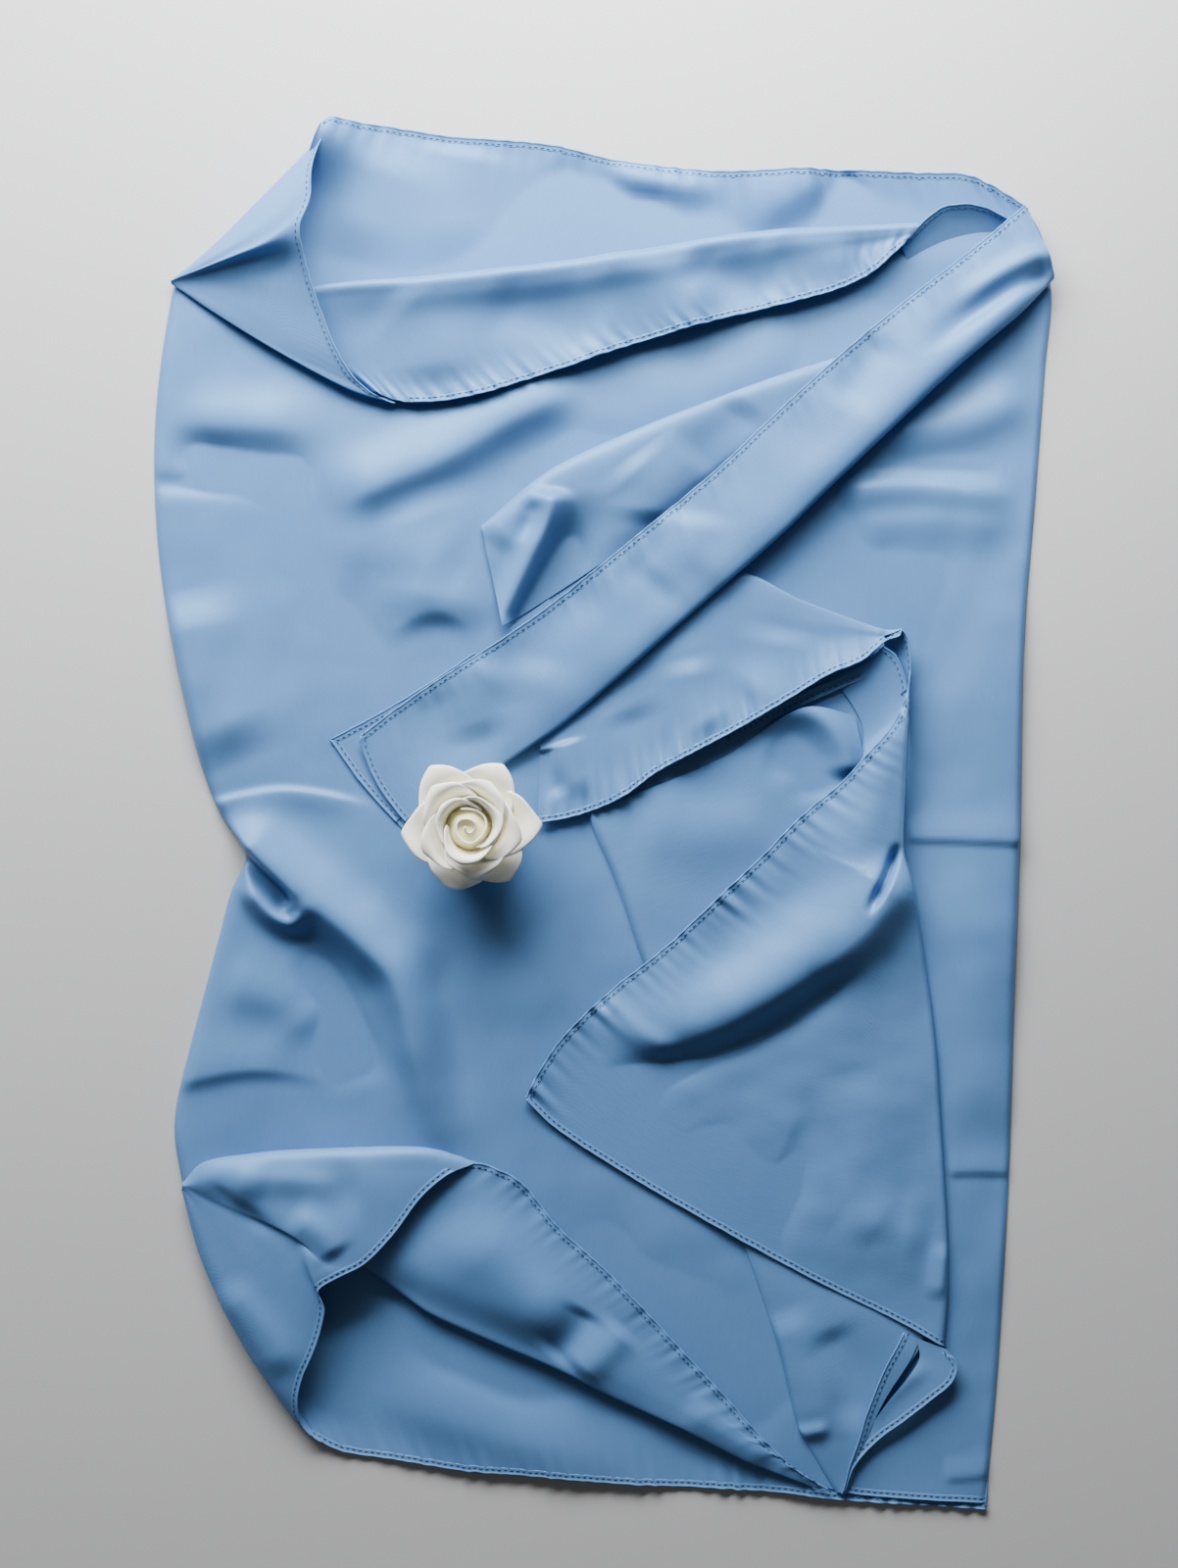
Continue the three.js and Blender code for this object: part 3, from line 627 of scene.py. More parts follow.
print("rolls and collar")
topLeft = [
    [(-0.934, 0.765, 2), (-0.826, 0.805, 1.5), (-0.717, 0.873, 1.5), (-0.63, 0.935, 1.5),
     (-0.582, 0.971, 2)],
    [(-0.957, 0.774, 5), (-0.869, 0.818, 7), (-0.758, 0.888, 9), (-0.644, 0.961, 11), (-0.601, 0.985, 12)],
    [(-0.954, 0.774, 7), (-0.855, 0.814, 14), (-0.741, 0.878, 18), (-0.646, 0.934, 20),
     (-0.616, 0.965, 20)],
    [(-0.953, 0.773, 8), (-0.835, 0.807, 18), (-0.733, 0.853, 24), (-0.633, 0.92, 27)],
    [(-0.953, 0.773, 8), (-0.822, 0.801, 19), (-0.723, 0.827, 26), (-0.636, 0.874, 29)],
    [(-0.953, 0.773, 8), (-0.807, 0.798, 21), (-0.727, 0.813, 26), (-0.658, 0.834, 29)],
    [(-0.953, 0.772, 7.5), (-0.817, 0.795, 14), (-0.72, 0.802, 17.5), (-0.649, 0.791, 22)],
    [(-0.954, 0.771, 7), (-0.828, 0.77, 10.5), (-0.723, 0.755, 13), (-0.628, 0.742, 17)],
    [(-0.954, 0.77, 6.5), (-0.838, 0.745, 9), (-0.703, 0.697, 10.5), (-0.577, 0.66, 12.5)],
    [(-0.954, 0.769, 6), (-0.854, 0.73, 7.8), (-0.682, 0.665, 8.6), (-0.527, 0.619, 9.6)],
    [(-0.955, 0.77, 5), (-0.854, 0.725, 6.6), (-0.668, 0.653, 7.4), (-0.534, 0.609, 7.6),
     (-0.462, 0.597, 8)],
    [(-0.946, 0.772, 3.2), (-0.842, 0.734, 3.2), (-0.66, 0.662, 3.2), (-0.529, 0.618, 3.6),
     (-0.459, 0.602, 5)],
]
corner = loft(topLeft, 60, 90)
relax(corner, 2)
ripple(corner, 21, 45, 0.2)
clothFrom("corner_roll_cloth", corner, ["corner_outer", "corner_inner"], flat=(0.13, 0.12, 0.0082))
hemOn("hem_corner_roll", "corner_roll_cloth", "end", (0.1, 0.93), 14)

collarRails = [
    [(-0.694, 0.741, 2.9), (-0.599, 0.75, 2.9), (-0.373, 0.756, 2.9), (0.052, 0.787, 2.9),
     (0.312, 0.815, 2.9), (0.67, 0.829, 2.9)],
    [(-0.693, 0.757, 5), (-0.607, 0.767, 9), (-0.37, 0.778, 12), (0.051, 0.811, 11), (0.31, 0.84, 10),
     (0.689, 0.856, 7)],
    [(-0.688, 0.753, 7), (-0.6, 0.762, 13), (-0.368, 0.769, 19), (0.051, 0.802, 18),
     (0.308, 0.831, 15.5), (0.691, 0.849, 11)],
    [(-0.675, 0.739, 6.5), (-0.593, 0.745, 11), (-0.352, 0.752, 17.5), (0.055, 0.783, 17),
     (0.317, 0.814, 14.5), (0.685, 0.842, 10.5)],
    [(-0.646, 0.706, 4.6), (-0.562, 0.708, 7.5), (-0.336, 0.722, 12), (0.06, 0.756, 12.5),
     (0.362, 0.794, 11), (0.679, 0.837, 9.6)],
    [(-0.594, 0.665, 3.6), (-0.502, 0.658, 6), (-0.307, 0.664, 9.5), (0.077, 0.717, 10.5),
     (0.422, 0.772, 9.6), (0.668, 0.83, 9.4)],
    [(-0.512, 0.617, 3), (-0.446, 0.6, 6), (-0.296, 0.606, 8.6), (-0.121, 0.64, 9), (0.039, 0.675, 9),
     (0.278, 0.72, 9), (0.503, 0.757, 8.6), (0.591, 0.784, 9), (0.66, 0.824, 9.6)],
]
collar = loft(collarRails, 150, 44)
collarCreases = [
    ([(-0.459, 0.76), (-0.383, 0.696), (-0.361, 0.618)], 1.6, 20, 24),
    ([(-0.252, 0.76), (-0.122, 0.718), (0.009, 0.689)], -1.6, 22, 18),
    ([(-0.057, 0.803), (0.139, 0.76), (0.27, 0.732)], 2.2, 16, 22),
    ([(0.183, 0.814), (0.27, 0.774), (0.4, 0.753)], -1.6, 14, 14),
    ([(0.335, 0.838), (0.444, 0.814), (0.574, 0.803)], 1.5, 12, 14),
]
for crease in collarCreases:
    fold(collar, *crease)
ripple(collar, 23, 55, 0.3)
pucker(collar, "last", 24, 0.85, 10)
clothFrom("collar_cloth", collar, ["collar"], flat=(0.366, 0.09, 0.0225))
hemOn("hem_collar", "collar_cloth", "last", (0.09, 1), 15)

loopRails = [
    [(0.651, 0.822, 9), (0.677, 0.838, 10), (0.704, 0.857, 11.5), (0.74, 0.874, 12.5),
     (0.778, 0.879, 13), (0.826, 0.877, 12.5), (0.867, 0.866, 12), (0.904, 0.853, 11.5)],
    [(0.659, 0.818, 6.5), (0.692, 0.832, 7), (0.722, 0.846, 7.5), (0.756, 0.857, 8), (0.795, 0.862, 8),
     (0.836, 0.862, 8), (0.877, 0.857, 8), (0.916, 0.845, 8)],
    [(0.672, 0.803, 3.6), (0.711, 0.817, 3.6), (0.746, 0.827, 3.6), (0.778, 0.834, 3.6),
     (0.815, 0.839, 3.6), (0.854, 0.841, 3.6), (0.893, 0.84, 4), (0.931, 0.83, 5)],
]
loop = loft(loopRails, 60, 16)
clothFrom("collar_loop_cloth", loop, [], flat=(0.07, 0.018, 0.001))
hemOn("hem_collar_loop", "collar_loop_cloth", "first", (0, 1), 16)

print("band")
bandRails = [
    [(0.923, 0.877, 12), (0.834, 0.828, 12.5), (0.755, 0.788, 12), (0.676, 0.749, 11.6),
     (0.516, 0.663, 11.4), (0.357, 0.568, 11), (0.252, 0.503, 10.6), (-0.002, 0.367, 9.4),
     (-0.141, 0.297, 8.4), (-0.262, 0.243, 7.2), (-0.385, 0.192, 6), (-0.5, 0.139, 5.4),
     (-0.537, 0.119, 5.2)],
    [(0.931, 0.868, 13), (0.846, 0.816, 14), (0.769, 0.774, 13.6), (0.69, 0.734, 13.2),
     (0.533, 0.645, 13), (0.374, 0.55, 12.6), (0.269, 0.486, 12.2), (0.019, 0.349, 10.8),
     (-0.115, 0.276, 9.4), (-0.234, 0.22, 7.8), (-0.364, 0.17, 6.4), (-0.472, 0.124, 5.5),
     (-0.533, 0.102, 5.2)],
    [(0.949, 0.841, 14.5), (0.87, 0.775, 16.5), (0.793, 0.73, 16.4), (0.716, 0.691, 16),
     (0.566, 0.605, 15.8), (0.412, 0.51, 15.2), (0.313, 0.448, 14.8), (0.073, 0.312, 12.8),
     (-0.065, 0.236, 10.8), (-0.186, 0.175, 8.4), (-0.333, 0.119, 6.4), (-0.45, 0.082, 5.5),
     (-0.503, 0.055, 5.2)],
    [(0.97, 0.81, 14.5), (0.898, 0.74, 18), (0.83, 0.697, 18.4), (0.753, 0.654, 18.2),
     (0.607, 0.567, 17.8), (0.454, 0.474, 17), (0.36, 0.417, 16.4), (0.133, 0.282, 14),
     (0, 0.205, 11.4), (-0.121, 0.141, 8.6), (-0.299, 0.076, 6.4), (-0.429, 0.034, 5.6),
     (-0.464, 0.017, 5.3)],
    [(0.991, 0.776, 10), (0.915, 0.725, 14), (0.845, 0.686, 15), (0.768, 0.643, 15), (0.626, 0.556, 15),
     (0.476, 0.463, 14.6), (0.388, 0.407, 14), (0.167, 0.281, 12), (0.034, 0.204, 10),
     (-0.082, 0.14, 7.6), (-0.208, 0.082, 5.8), (-0.36, 0.013, 5.2), (-0.416, -0.02, 5)],
    [(0.987, 0.775, 5), (0.911, 0.724, 5.6), (0.837, 0.684, 6), (0.762, 0.642, 6), (0.619, 0.556, 6),
     (0.467, 0.462, 6), (0.378, 0.405, 6), (0.158, 0.28, 5.6), (0.024, 0.204, 5), (-0.093, 0.139, 4.6),
     (-0.221, 0.081, 4.2), (-0.369, 0.013, 4.2), (-0.425, -0.017, 4.2)],
]
band = loft(bandRails, 200, 34)
bandCreases = [
    ([(0.979, 0.782), (0.901, 0.76), (0.803, 0.718), (0.683, 0.658)], -2.2, 5, 9, (0.05, 0.5)),
    ([(0.988, 0.806), (0.923, 0.796), (0.835, 0.763), (0.748, 0.718)], 1.6, 6, 6, (0.05, 0.5)),
    ([(0.618, 0.696), (0.553, 0.63), (0.509, 0.59)], -1.4, 14, 12),
    ([(0.183, 0.448), (0.161, 0.391), (0.096, 0.335)], 1.6, 22, 20),
    ([(-0.013, 0.356), (-0.122, 0.278), (-0.165, 0.193)], -1.6, 18, 18),
    ([(0.052, 0.391), (0.183, 0.335), (0.248, 0.363)], -1.0, 18, 18),
    ([(-0.252, 0.238), (-0.296, 0.179), (-0.274, 0.108)], 1.5, 18, 16),
    ([(-0.383, 0.193), (-0.318, 0.129), (-0.209, 0.108)], -1.0, 16, 16),
]
for crease in bandCreases:
    fold(band, *crease)
ripple(band, 31, 40, 0.3)
pucker(band, "first", 32, 0.55, 9)
clothFrom("band_top_cloth", band, ["band_top"], flat=(0.452, 0.06, 0.024))
hemOn("hem_band", "band_top_cloth", "first", (0, 1), 17)
hemOn("hem_band_end", "band_top_cloth", "end", (0, 0.85), 18)

bandUnderRails = [
    [(-0.121, 0.317, 5), (-0.252, 0.255, 4.4), (-0.36, 0.207, 3.9), (-0.479, 0.159, 3.7),
     (-0.605, 0.115, 3.6)],
    [(-0.035, 0.263, 5.5), (-0.186, 0.184, 4.6), (-0.317, 0.133, 4), (-0.447, 0.091, 3.8),
     (-0.534, 0.051, 3.7)],
    [(0.052, 0.221, 5), (-0.1, 0.144, 4.4), (-0.241, 0.085, 4), (-0.382, 0.02, 3.8), (-0.44, -0.017, 3.7)],
]
bandUnder = loft(bandUnderRails, 80, 34)
ripple(bandUnder, 33, 40, 0.12)
clothFrom("band_under_cloth", bandUnder, ["band_under"], flat=(0.147, 0.062, 0.0078))
hemOn("hem_band_under", "band_under_cloth", "first", (0.35, 1), 19)
hemOn("hem_band_under_end", "band_under_cloth", "end", (0, 0.9), 20)

print("pouch and flaps")
pouchRails = [
    [(-0.245, 0.408, 3), (-0.122, 0.475, 3), (-0.057, 0.504, 3), (0.119, 0.555, 3), (0.36, 0.614, 3),
     (0.521, 0.645, 3)],
    [(-0.271, 0.422, 5), (-0.141, 0.492, 8), (-0.076, 0.517, 9), (0.118, 0.572, 9), (0.358, 0.631, 8),
     (0.51, 0.663, 7)],
    [(-0.268, 0.418, 7), (-0.136, 0.484, 11), (-0.069, 0.507, 12.5), (0.122, 0.56, 12),
     (0.36, 0.62, 10.5), (0.505, 0.65, 9)],
    [(-0.26, 0.389, 7), (-0.121, 0.455, 12), (-0.035, 0.472, 12.5), (0.159, 0.525, 11.5),
     (0.375, 0.591, 10), (0.505, 0.636, 9)],
    [(-0.243, 0.339, 6), (-0.121, 0.389, 9), (0.03, 0.417, 9), (0.224, 0.501, 8.5), (0.397, 0.572, 8.5),
     (0.505, 0.623, 8)],
    [(-0.223, 0.277, 4), (-0.121, 0.319, 5.5), (0.052, 0.395, 6), (0.247, 0.497, 6), (0.411, 0.573, 6),
     (0.51, 0.615, 6)],
]
pouch = loft(pouchRails, 120, 50)
pouchCreases = [
    ([(-0.109, 0.477), (-0.117, 0.434), (-0.165, 0.363), (-0.242, 0.257)], 4.5, 8, 9, (0.1, 0.1)),
    ([(-0.057, 0.477), (-0.07, 0.42), (-0.122, 0.349), (-0.191, 0.264)], -4.5, 16, 10, (0.4, 0.1)),
    ([(-0.252, 0.391), (-0.187, 0.434), (-0.122, 0.477)], 1.5, 10, 12),
    ([(0.052, 0.519), (0.096, 0.477), (0.096, 0.42)], 1.5, 20, 18),
    ([(0.313, 0.604), (0.27, 0.562), (0.183, 0.505)], -1.5, 18, 16),
]
for crease in pouchCreases:
    fold(pouch, *crease)
ripple(pouch, 41, 40, 0.25)
fold(pouch, [(-0.146, 0.465), (-0.154, 0.434), (-0.187, 0.391)], -1.8, 6, 7, (0.35, 0.5))
pouch[..., 2] = np.maximum(pouch[..., 2], 3 * mm)
clothFrom("pouch_fold_cloth", pouch, ["pouch_fold"], flat=(0.216, 0.07, 0.011))

middleRails = [
    [(-0.13, 0.136, 3.2), (0.009, 0.207, 3.4), (0.139, 0.277, 3.6), (0.28, 0.348, 3.8),
     (0.436, 0.305, 4), (0.528, 0.283, 5), (0.624, 0.262, 7.5), (0.651, 0.262, 9)],
    [(-0.139, 0.129, 3.8), (0.009, 0.215, 4.6), (0.138, 0.288, 5.5), (0.287, 0.355, 7),
     (0.434, 0.316, 7), (0.527, 0.293, 7.5), (0.623, 0.272, 9.5), (0.654, 0.273, 11)],
    [(-0.141, 0.101, 4.5), (0.03, 0.175, 6), (0.16, 0.241, 7), (0.311, 0.307, 8.2), (0.445, 0.29, 8),
     (0.531, 0.28, 8.5), (0.623, 0.266, 10.2), (0.652, 0.269, 11.5)],
    [(-0.143, 0.058, 4.6), (0.019, 0.115, 6), (0.181, 0.171, 6.6), (0.354, 0.234, 7),
     (0.467, 0.251, 7.5), (0.544, 0.261, 8.4), (0.618, 0.262, 10), (0.65, 0.264, 11.5)],
    [(-0.147, -0.005, 4.6), (-0.076, 0.003, 5.2), (-0.002, 0.019, 6), (0.052, 0.037, 6.8),
     (0.114, 0.067, 7.6), (0.205, 0.099, 8.6), (0.297, 0.131, 9.4), (0.414, 0.176, 10),
     (0.495, 0.208, 10.4), (0.568, 0.228, 10.8), (0.618, 0.255, 11.4), (0.647, 0.262, 12)],
]
middle = loft(middleRails, 130, 56)
middleCreases = [
    ([(-0.131, 0.101), (-0.122, 0.072), (-0.089, 0.03)], -1.2, 5, 7, (0.05, 0.3)),
    ([(-0.089, 0.115), (-0.067, 0.065), (-0.035, 0.023)], 1.5, 8, 9, (0.1, 0.4)),
    ([(0.183, 0.235), (0.209, 0.165), (0.248, 0.119)], 1.5, 12, 14),
    ([(0.052, 0.165), (0.096, 0.108), (0.183, 0.094)], -1.0, 14, 14),
    ([(0.4, 0.278), (0.379, 0.221), (0.313, 0.165)], 1.2, 18, 18),
]
for crease in middleCreases:
    fold(middle, *crease)
ripple(middle, 43, 36, 0.25)
pucker(middle, "last", 44, 0.95, 11)
clothFrom("middle_flap_cloth", middle, ["middle_flap"], flat=(0.225, 0.08, 0.012))
hemOn("hem_middle_flap", "middle_flap_cloth", "last", (0, 0.98), 45)

innerRails = [
    [(0.269, 0.125, 4.4), (0.399, 0.17, 4.6), (0.507, 0.201, 5), (0.575, 0.22, 6), (0.616, 0.247, 7.5)],
    [(0.28, 0.113, 3.8), (0.412, 0.156, 4), (0.52, 0.188, 4.4), (0.589, 0.209, 5), (0.631, 0.237, 6.8)],
]
secondLeaf = loft(innerRails, 60, 6)
clothFrom("middle_flap_lining_cloth", secondLeaf, [], flat=(0.096, 0.01, 0.00055))
hemOn("hem_middle_lining", "middle_flap_lining_cloth", "last", (0, 1), 46)

tipRails = [
    [(0.615, 0.264, 12.2), (0.636, 0.268, 12.4), (0.653, 0.271, 12.6), (0.666, 0.261, 12.6),
     (0.672, 0.242, 12.6), (0.673, 0.219, 12.6), (0.673, 0.201, 12.4)],
    [(0.617, 0.257, 8), (0.637, 0.259, 8.4), (0.65, 0.258, 8.4), (0.658, 0.248, 8.4),
     (0.665, 0.233, 8.4), (0.668, 0.214, 8.4), (0.669, 0.197, 8.4)],
    [(0.619, 0.243, 5.6), (0.632, 0.243, 5.6), (0.643, 0.239, 5.6), (0.651, 0.229, 5.6),
     (0.658, 0.218, 5.6), (0.662, 0.205, 5.6), (0.664, 0.191, 5.6)],
]
tip = loft(tipRails, 50, 12)
clothFrom("loop_tip_cloth", tip, [], flat=(0.037, 0.014, 0.0003))
hemOn("hem_loop_tip", "loop_tip_cloth", "first", (0, 1), 48)

liningRails = [
    [(0.614, 0.248, 10.4), (0.631, 0.241, 10.4), (0.646, 0.23, 10.2), (0.657, 0.214, 10),
     (0.666, 0.192, 9.6), (0.66, 0.161, 9), (0.63, 0.127, 8.6), (0.579, 0.088, 7.6)],
    [(0.571, 0.223, 6), (0.593, 0.206, 6), (0.614, 0.184, 6), (0.625, 0.161, 6), (0.615, 0.133, 5.6),
     (0.589, 0.105, 5.4), (0.554, 0.076, 5.2)],
    [(0.497, 0.204, 3.4), (0.525, 0.187, 3.2), (0.555, 0.159, 3.2), (0.573, 0.133, 3.2),
     (0.573, 0.108, 3.2), (0.559, 0.085, 3.6), (0.542, 0.065, 4)],
]
lining = loft(liningRails, 60, 20)
ripple(lining, 47, 30, 0.15)
clothFrom("loop_lining_cloth", lining, ["loop_lining"], flat=(0.07, 0.034, 0.0013))
hemOn("hem_loop_lining", "loop_lining_cloth", "first", (0, 0.4), 49)

lowerRails = [
    [(0.671, 0.211, 12.5), (0.662, 0.176, 12), (0.631, 0.134, 11), (0.577, 0.093, 10),
     (0.524, 0.054, 9.4), (0.434, 0.005, 8.8), (0.343, -0.056, 8.2), (0.287, -0.09, 7.8),
     (0.136, -0.183, 6.2), (0.019, -0.244, 5), (-0.074, -0.301, 4.2), (-0.128, -0.346, 3.8),
     (-0.174, -0.401, 3.4)],
    [(0.671, 0.208, 13), (0.658, 0.149, 13), (0.602, 0.071, 12), (0.508, 0.001, 11.4),
     (0.396, -0.075, 10.4), (0.267, -0.163, 9), (0.16, -0.239, 7.4), (0.052, -0.319, 5.4),
     (-0.035, -0.381, 4.4), (-0.117, -0.438, 3.8)],
    [(0.673, 0.205, 13), (0.655, 0.121, 13.4), (0.61, 0.009, 13), (0.537, -0.072, 13.6),
     (0.438, -0.156, 12.4), (0.336, -0.244, 9.6), (0.229, -0.332, 6.8), (0.13, -0.421, 5),
     (0.035, -0.504, 4.2)],
    [(0.674, 0.202, 13), (0.655, 0.093, 13.4), (0.636, -0.019, 13.6), (0.592, -0.11, 14.4),
     (0.529, -0.208, 12), (0.457, -0.315, 8.4), (0.376, -0.429, 6), (0.269, -0.593, 4.6)],
    [(0.675, 0.201, 12.8), (0.66, 0.079, 13), (0.649, -0.03, 13), (0.637, -0.126, 11.5),
     (0.629, -0.23, 9.6), (0.609, -0.358, 7.4), (0.56, -0.499, 6), (0.474, -0.665, 5)],
    [(0.676, 0.2, 12.6), (0.665, 0.072, 12.4), (0.658, -0.036, 12), (0.675, -0.118, 9.6),
     (0.695, -0.245, 8), (0.709, -0.386, 7), (0.709, -0.541, 6.4), (0.662, -0.725, 5.8)],
    [(0.678, 0.198, 12), (0.671, 0.123, 11.8), (0.663, 0.045, 11.4), (0.652, -0.029, 10.8),
     (0.679, -0.08, 9), (0.711, -0.204, 7.8), (0.735, -0.329, 7.2), (0.75, -0.48, 7),
     (0.761, -0.606, 7), (0.761, -0.689, 6.8), (0.752, -0.758, 6.6)],
]
lower = loft(lowerRails, 300, 230)
lowerCreases = [
    (
        [(0.664, -0.045), (0.635, -0.102), (0.544, -0.169), (0.413, -0.233), (0.27, -0.287),
         (0.12, -0.321), (-0.035, -0.34)],
        5.0, 16, 26, (0.12, 0.3),
    ),
    (
        [(0.574, -0.197), (0.444, -0.268), (0.292, -0.321), (0.139, -0.353), (-0.013, -0.372)],
        -2.8, 10, 16, (0.2, 0.3),
    ),
    ([(0.629, 0.193), (0.618, 0.094), (0.574, -0.006), (0.509, -0.077)], 1.5, 14, 16, (0.3, 0.3)),
    ([(0.522, -0.048), (0.444, -0.098), (0.313, -0.162), (0.161, -0.233)], -1.2, 18, 18),
    ([(0.648, -0.031), (0.631, -0.065), (0.605, -0.099), (0.568, -0.139)], -3.6, 2.4, 3.4, (0.3, 0.4)),
    ([(0.431, -0.409), (0.379, -0.488), (0.307, -0.586)], 0.4, 6, 16, (0.2, 0.2)),
    ([(-0.013, -0.254), (0.074, -0.304), (0.183, -0.339)], 1.2, 7, 9, (0.2, 0.3)),
    ([(0.183, -0.445), (0.313, -0.516), (0.466, -0.559)], -0.9, 22, 22),
    ([(0.755, -0.604), (0.744, -0.652), (0.733, -0.695)], 0.9, 4, 7, (0.3, 0.3)),
    ([(0.531, -0.552), (0.629, -0.594), (0.727, -0.604)], 1.6, 18, 22, (0.4, 0.3)),
    ([(0.531, -0.36), (0.574, -0.488), (0.596, -0.616)], 1.2, 22, 22),
]
for crease in lowerCreases:
    fold(lower, *crease)
ripple(lower, 51, 60, 0.5)
ripple(lower, 52, 26, 0.1)
lower[..., 2] = np.maximum(lower[..., 2], 5 * mm)
pucker(lower, "first", 53, 0.6, 12)
rollDown(lower, "last", 5, 4.2)
clothFrom("lower_flap_cloth", lower, ["lower_flap"], flat=(0.352, 0.23, 0.0406))
hemOn("hem_lower_flap", "lower_flap_cloth", "first", (0, 1), 54)
hemOn("hem_lower_flap_bottom", "lower_flap_cloth", "end", (0, 1), 55)

underRails = [
    [(-0.039, 0.012, 5.4), (-0.026, -0.012, 6.2), (0.026, -0.09, 6.6), (0.082, -0.196, 6.4),
     (0.16, -0.316, 5), (0.258, -0.514, 3.6), (0.308, -0.608, 3.2), (0.34, -0.666, 3.4),
     (0.386, -0.759, 3.6), (0.408, -0.817, 3.8), (0.431, -0.88, 3.8), (0.475, -0.929, 3.6),
     (0.514, -0.97, 3.2)],
    [(0.095, 0.043, 3.8), (0.182, -0.09, 4.2), (0.312, -0.302, 4), (0.425, -0.613, 4.6),
     (0.485, -0.768, 5), (0.498, -0.867, 5), (0.522, -0.969, 4)],
    [(0.269, 0.091, 4), (0.377, -0.062, 4.4), (0.485, -0.302, 4), (0.541, -0.627, 4.8),
     (0.572, -0.754, 5), (0.546, -0.853, 5), (0.526, -0.97, 4.4)],
    [(0.442, 0.161, 4), (0.533, -0.02, 4.2), (0.616, -0.302, 4), (0.633, -0.641, 4.6),
     (0.628, -0.768, 4.6), (0.58, -0.867, 5), (0.531, -0.97, 4.4)],
    [(0.555, 0.15, 3.6), (0.611, -0.034, 3.8), (0.681, -0.317, 3.6), (0.724, -0.641, 4),
     (0.702, -0.752, 4.2), (0.626, -0.83, 4.6), (0.535, -0.971, 4.2)],
]
under = loft(underRails, 200, 60)
underCreases = [
    (
        [(0.335, 0.142), (0.426, 0.159), (0.487, 0.142), (0.529, 0.102), (0.542, 0.055)],
        3.2, 9, 9, (0.35, 0.12),
    ),
    ([(0.357, 0.108), (0.444, 0.079), (0.487, 0.023)], -1.5, 14, 14),
    ([(0.052, -0.006), (0.226, -0.02), (0.4, 0.009)], 1.2, 20, 20),
    ([(0.4, -0.701), (0.455, -0.8), (0.498, -0.899)], 1.4, 12, 18, (0.2, 0.3)),
    ([(0.487, -0.729), (0.535, -0.8), (0.535, -0.885)], -1.2, 14, 14, (0.2, 0.3)),
]
for crease in underCreases:
    fold(under, *crease)
ripple(under, 61, 50, 0.25)
fold(under, [(0.431, -0.884), (0.47, -0.878), (0.509, -0.871)], 1.1, 4, 5, (0.05, 0.5))
under[..., 2] = np.maximum(under[..., 2], 2.8 * mm)
rollDown(under, "first", 2.6, 2.8)
clothFrom("under_flap_cloth", under, ["under_flap"], flat=(0.426, 0.15, 0.0415))

funnelRails = [
    [(0.757, -0.761, 6.8), (0.778, -0.783, 7.4), (0.769, -0.806, 7.4), (0.722, -0.833, 7),
     (0.668, -0.861, 6.6), (0.608, -0.89, 6.2), (0.556, -0.927, 5.8), (0.531, -0.969, 4.6)],
    [(0.723, -0.753, 6), (0.74, -0.778, 6.4), (0.722, -0.801, 6.4), (0.679, -0.826, 6.2),
     (0.632, -0.855, 5.8), (0.584, -0.886, 5.6), (0.548, -0.926, 5.2), (0.529, -0.969, 4.4)],
    [(0.688, -0.745, 5.4), (0.697, -0.773, 5.4), (0.667, -0.804, 5.6), (0.628, -0.835, 5.4),
     (0.597, -0.864, 5.4), (0.565, -0.897, 5.4), (0.541, -0.935, 5), (0.527, -0.969, 4.3)],
]
funnelGrid = loft(funnelRails, 90, 24)
fold(funnelGrid, [(0.727, -0.777), (0.659, -0.81), (0.611, -0.84), (0.587, -0.882)], 0.7, 6, 5, (0.3, 0.3))
clothFrom("funnel_cloth", funnelGrid, ["funnel"], flat=(0.102, 0.02, 0.00105))
hemOn("hem_funnel", "funnel_cloth", "first", (0.04, 1), 63)

leafRails = [
    [(0.663, -0.738, 5), (0.642, -0.763, 6), (0.623, -0.785, 6.4), (0.608, -0.806, 6.6),
     (0.594, -0.829, 6.8), (0.577, -0.858, 6.8), (0.564, -0.888, 6.6), (0.547, -0.919, 6.2),
     (0.535, -0.947, 5.6), (0.526, -0.971, 4.8)],
    [(0.697, -0.748, 5), (0.68, -0.773, 5.4), (0.658, -0.796, 5.6), (0.636, -0.817, 5.8),
     (0.614, -0.841, 6), (0.593, -0.869, 6), (0.576, -0.897, 5.8), (0.554, -0.926, 5.4),
     (0.539, -0.95, 5), (0.529, -0.972, 4.4)],
]
leaf = loft(leafRails, 70, 8)
clothFrom("funnel_leaf_cloth", leaf, [], flat=(0.092, 0.01, 0.00052))
hemOn("hem_funnel_leaf", "funnel_leaf_cloth", "first", (0, 1), 64)

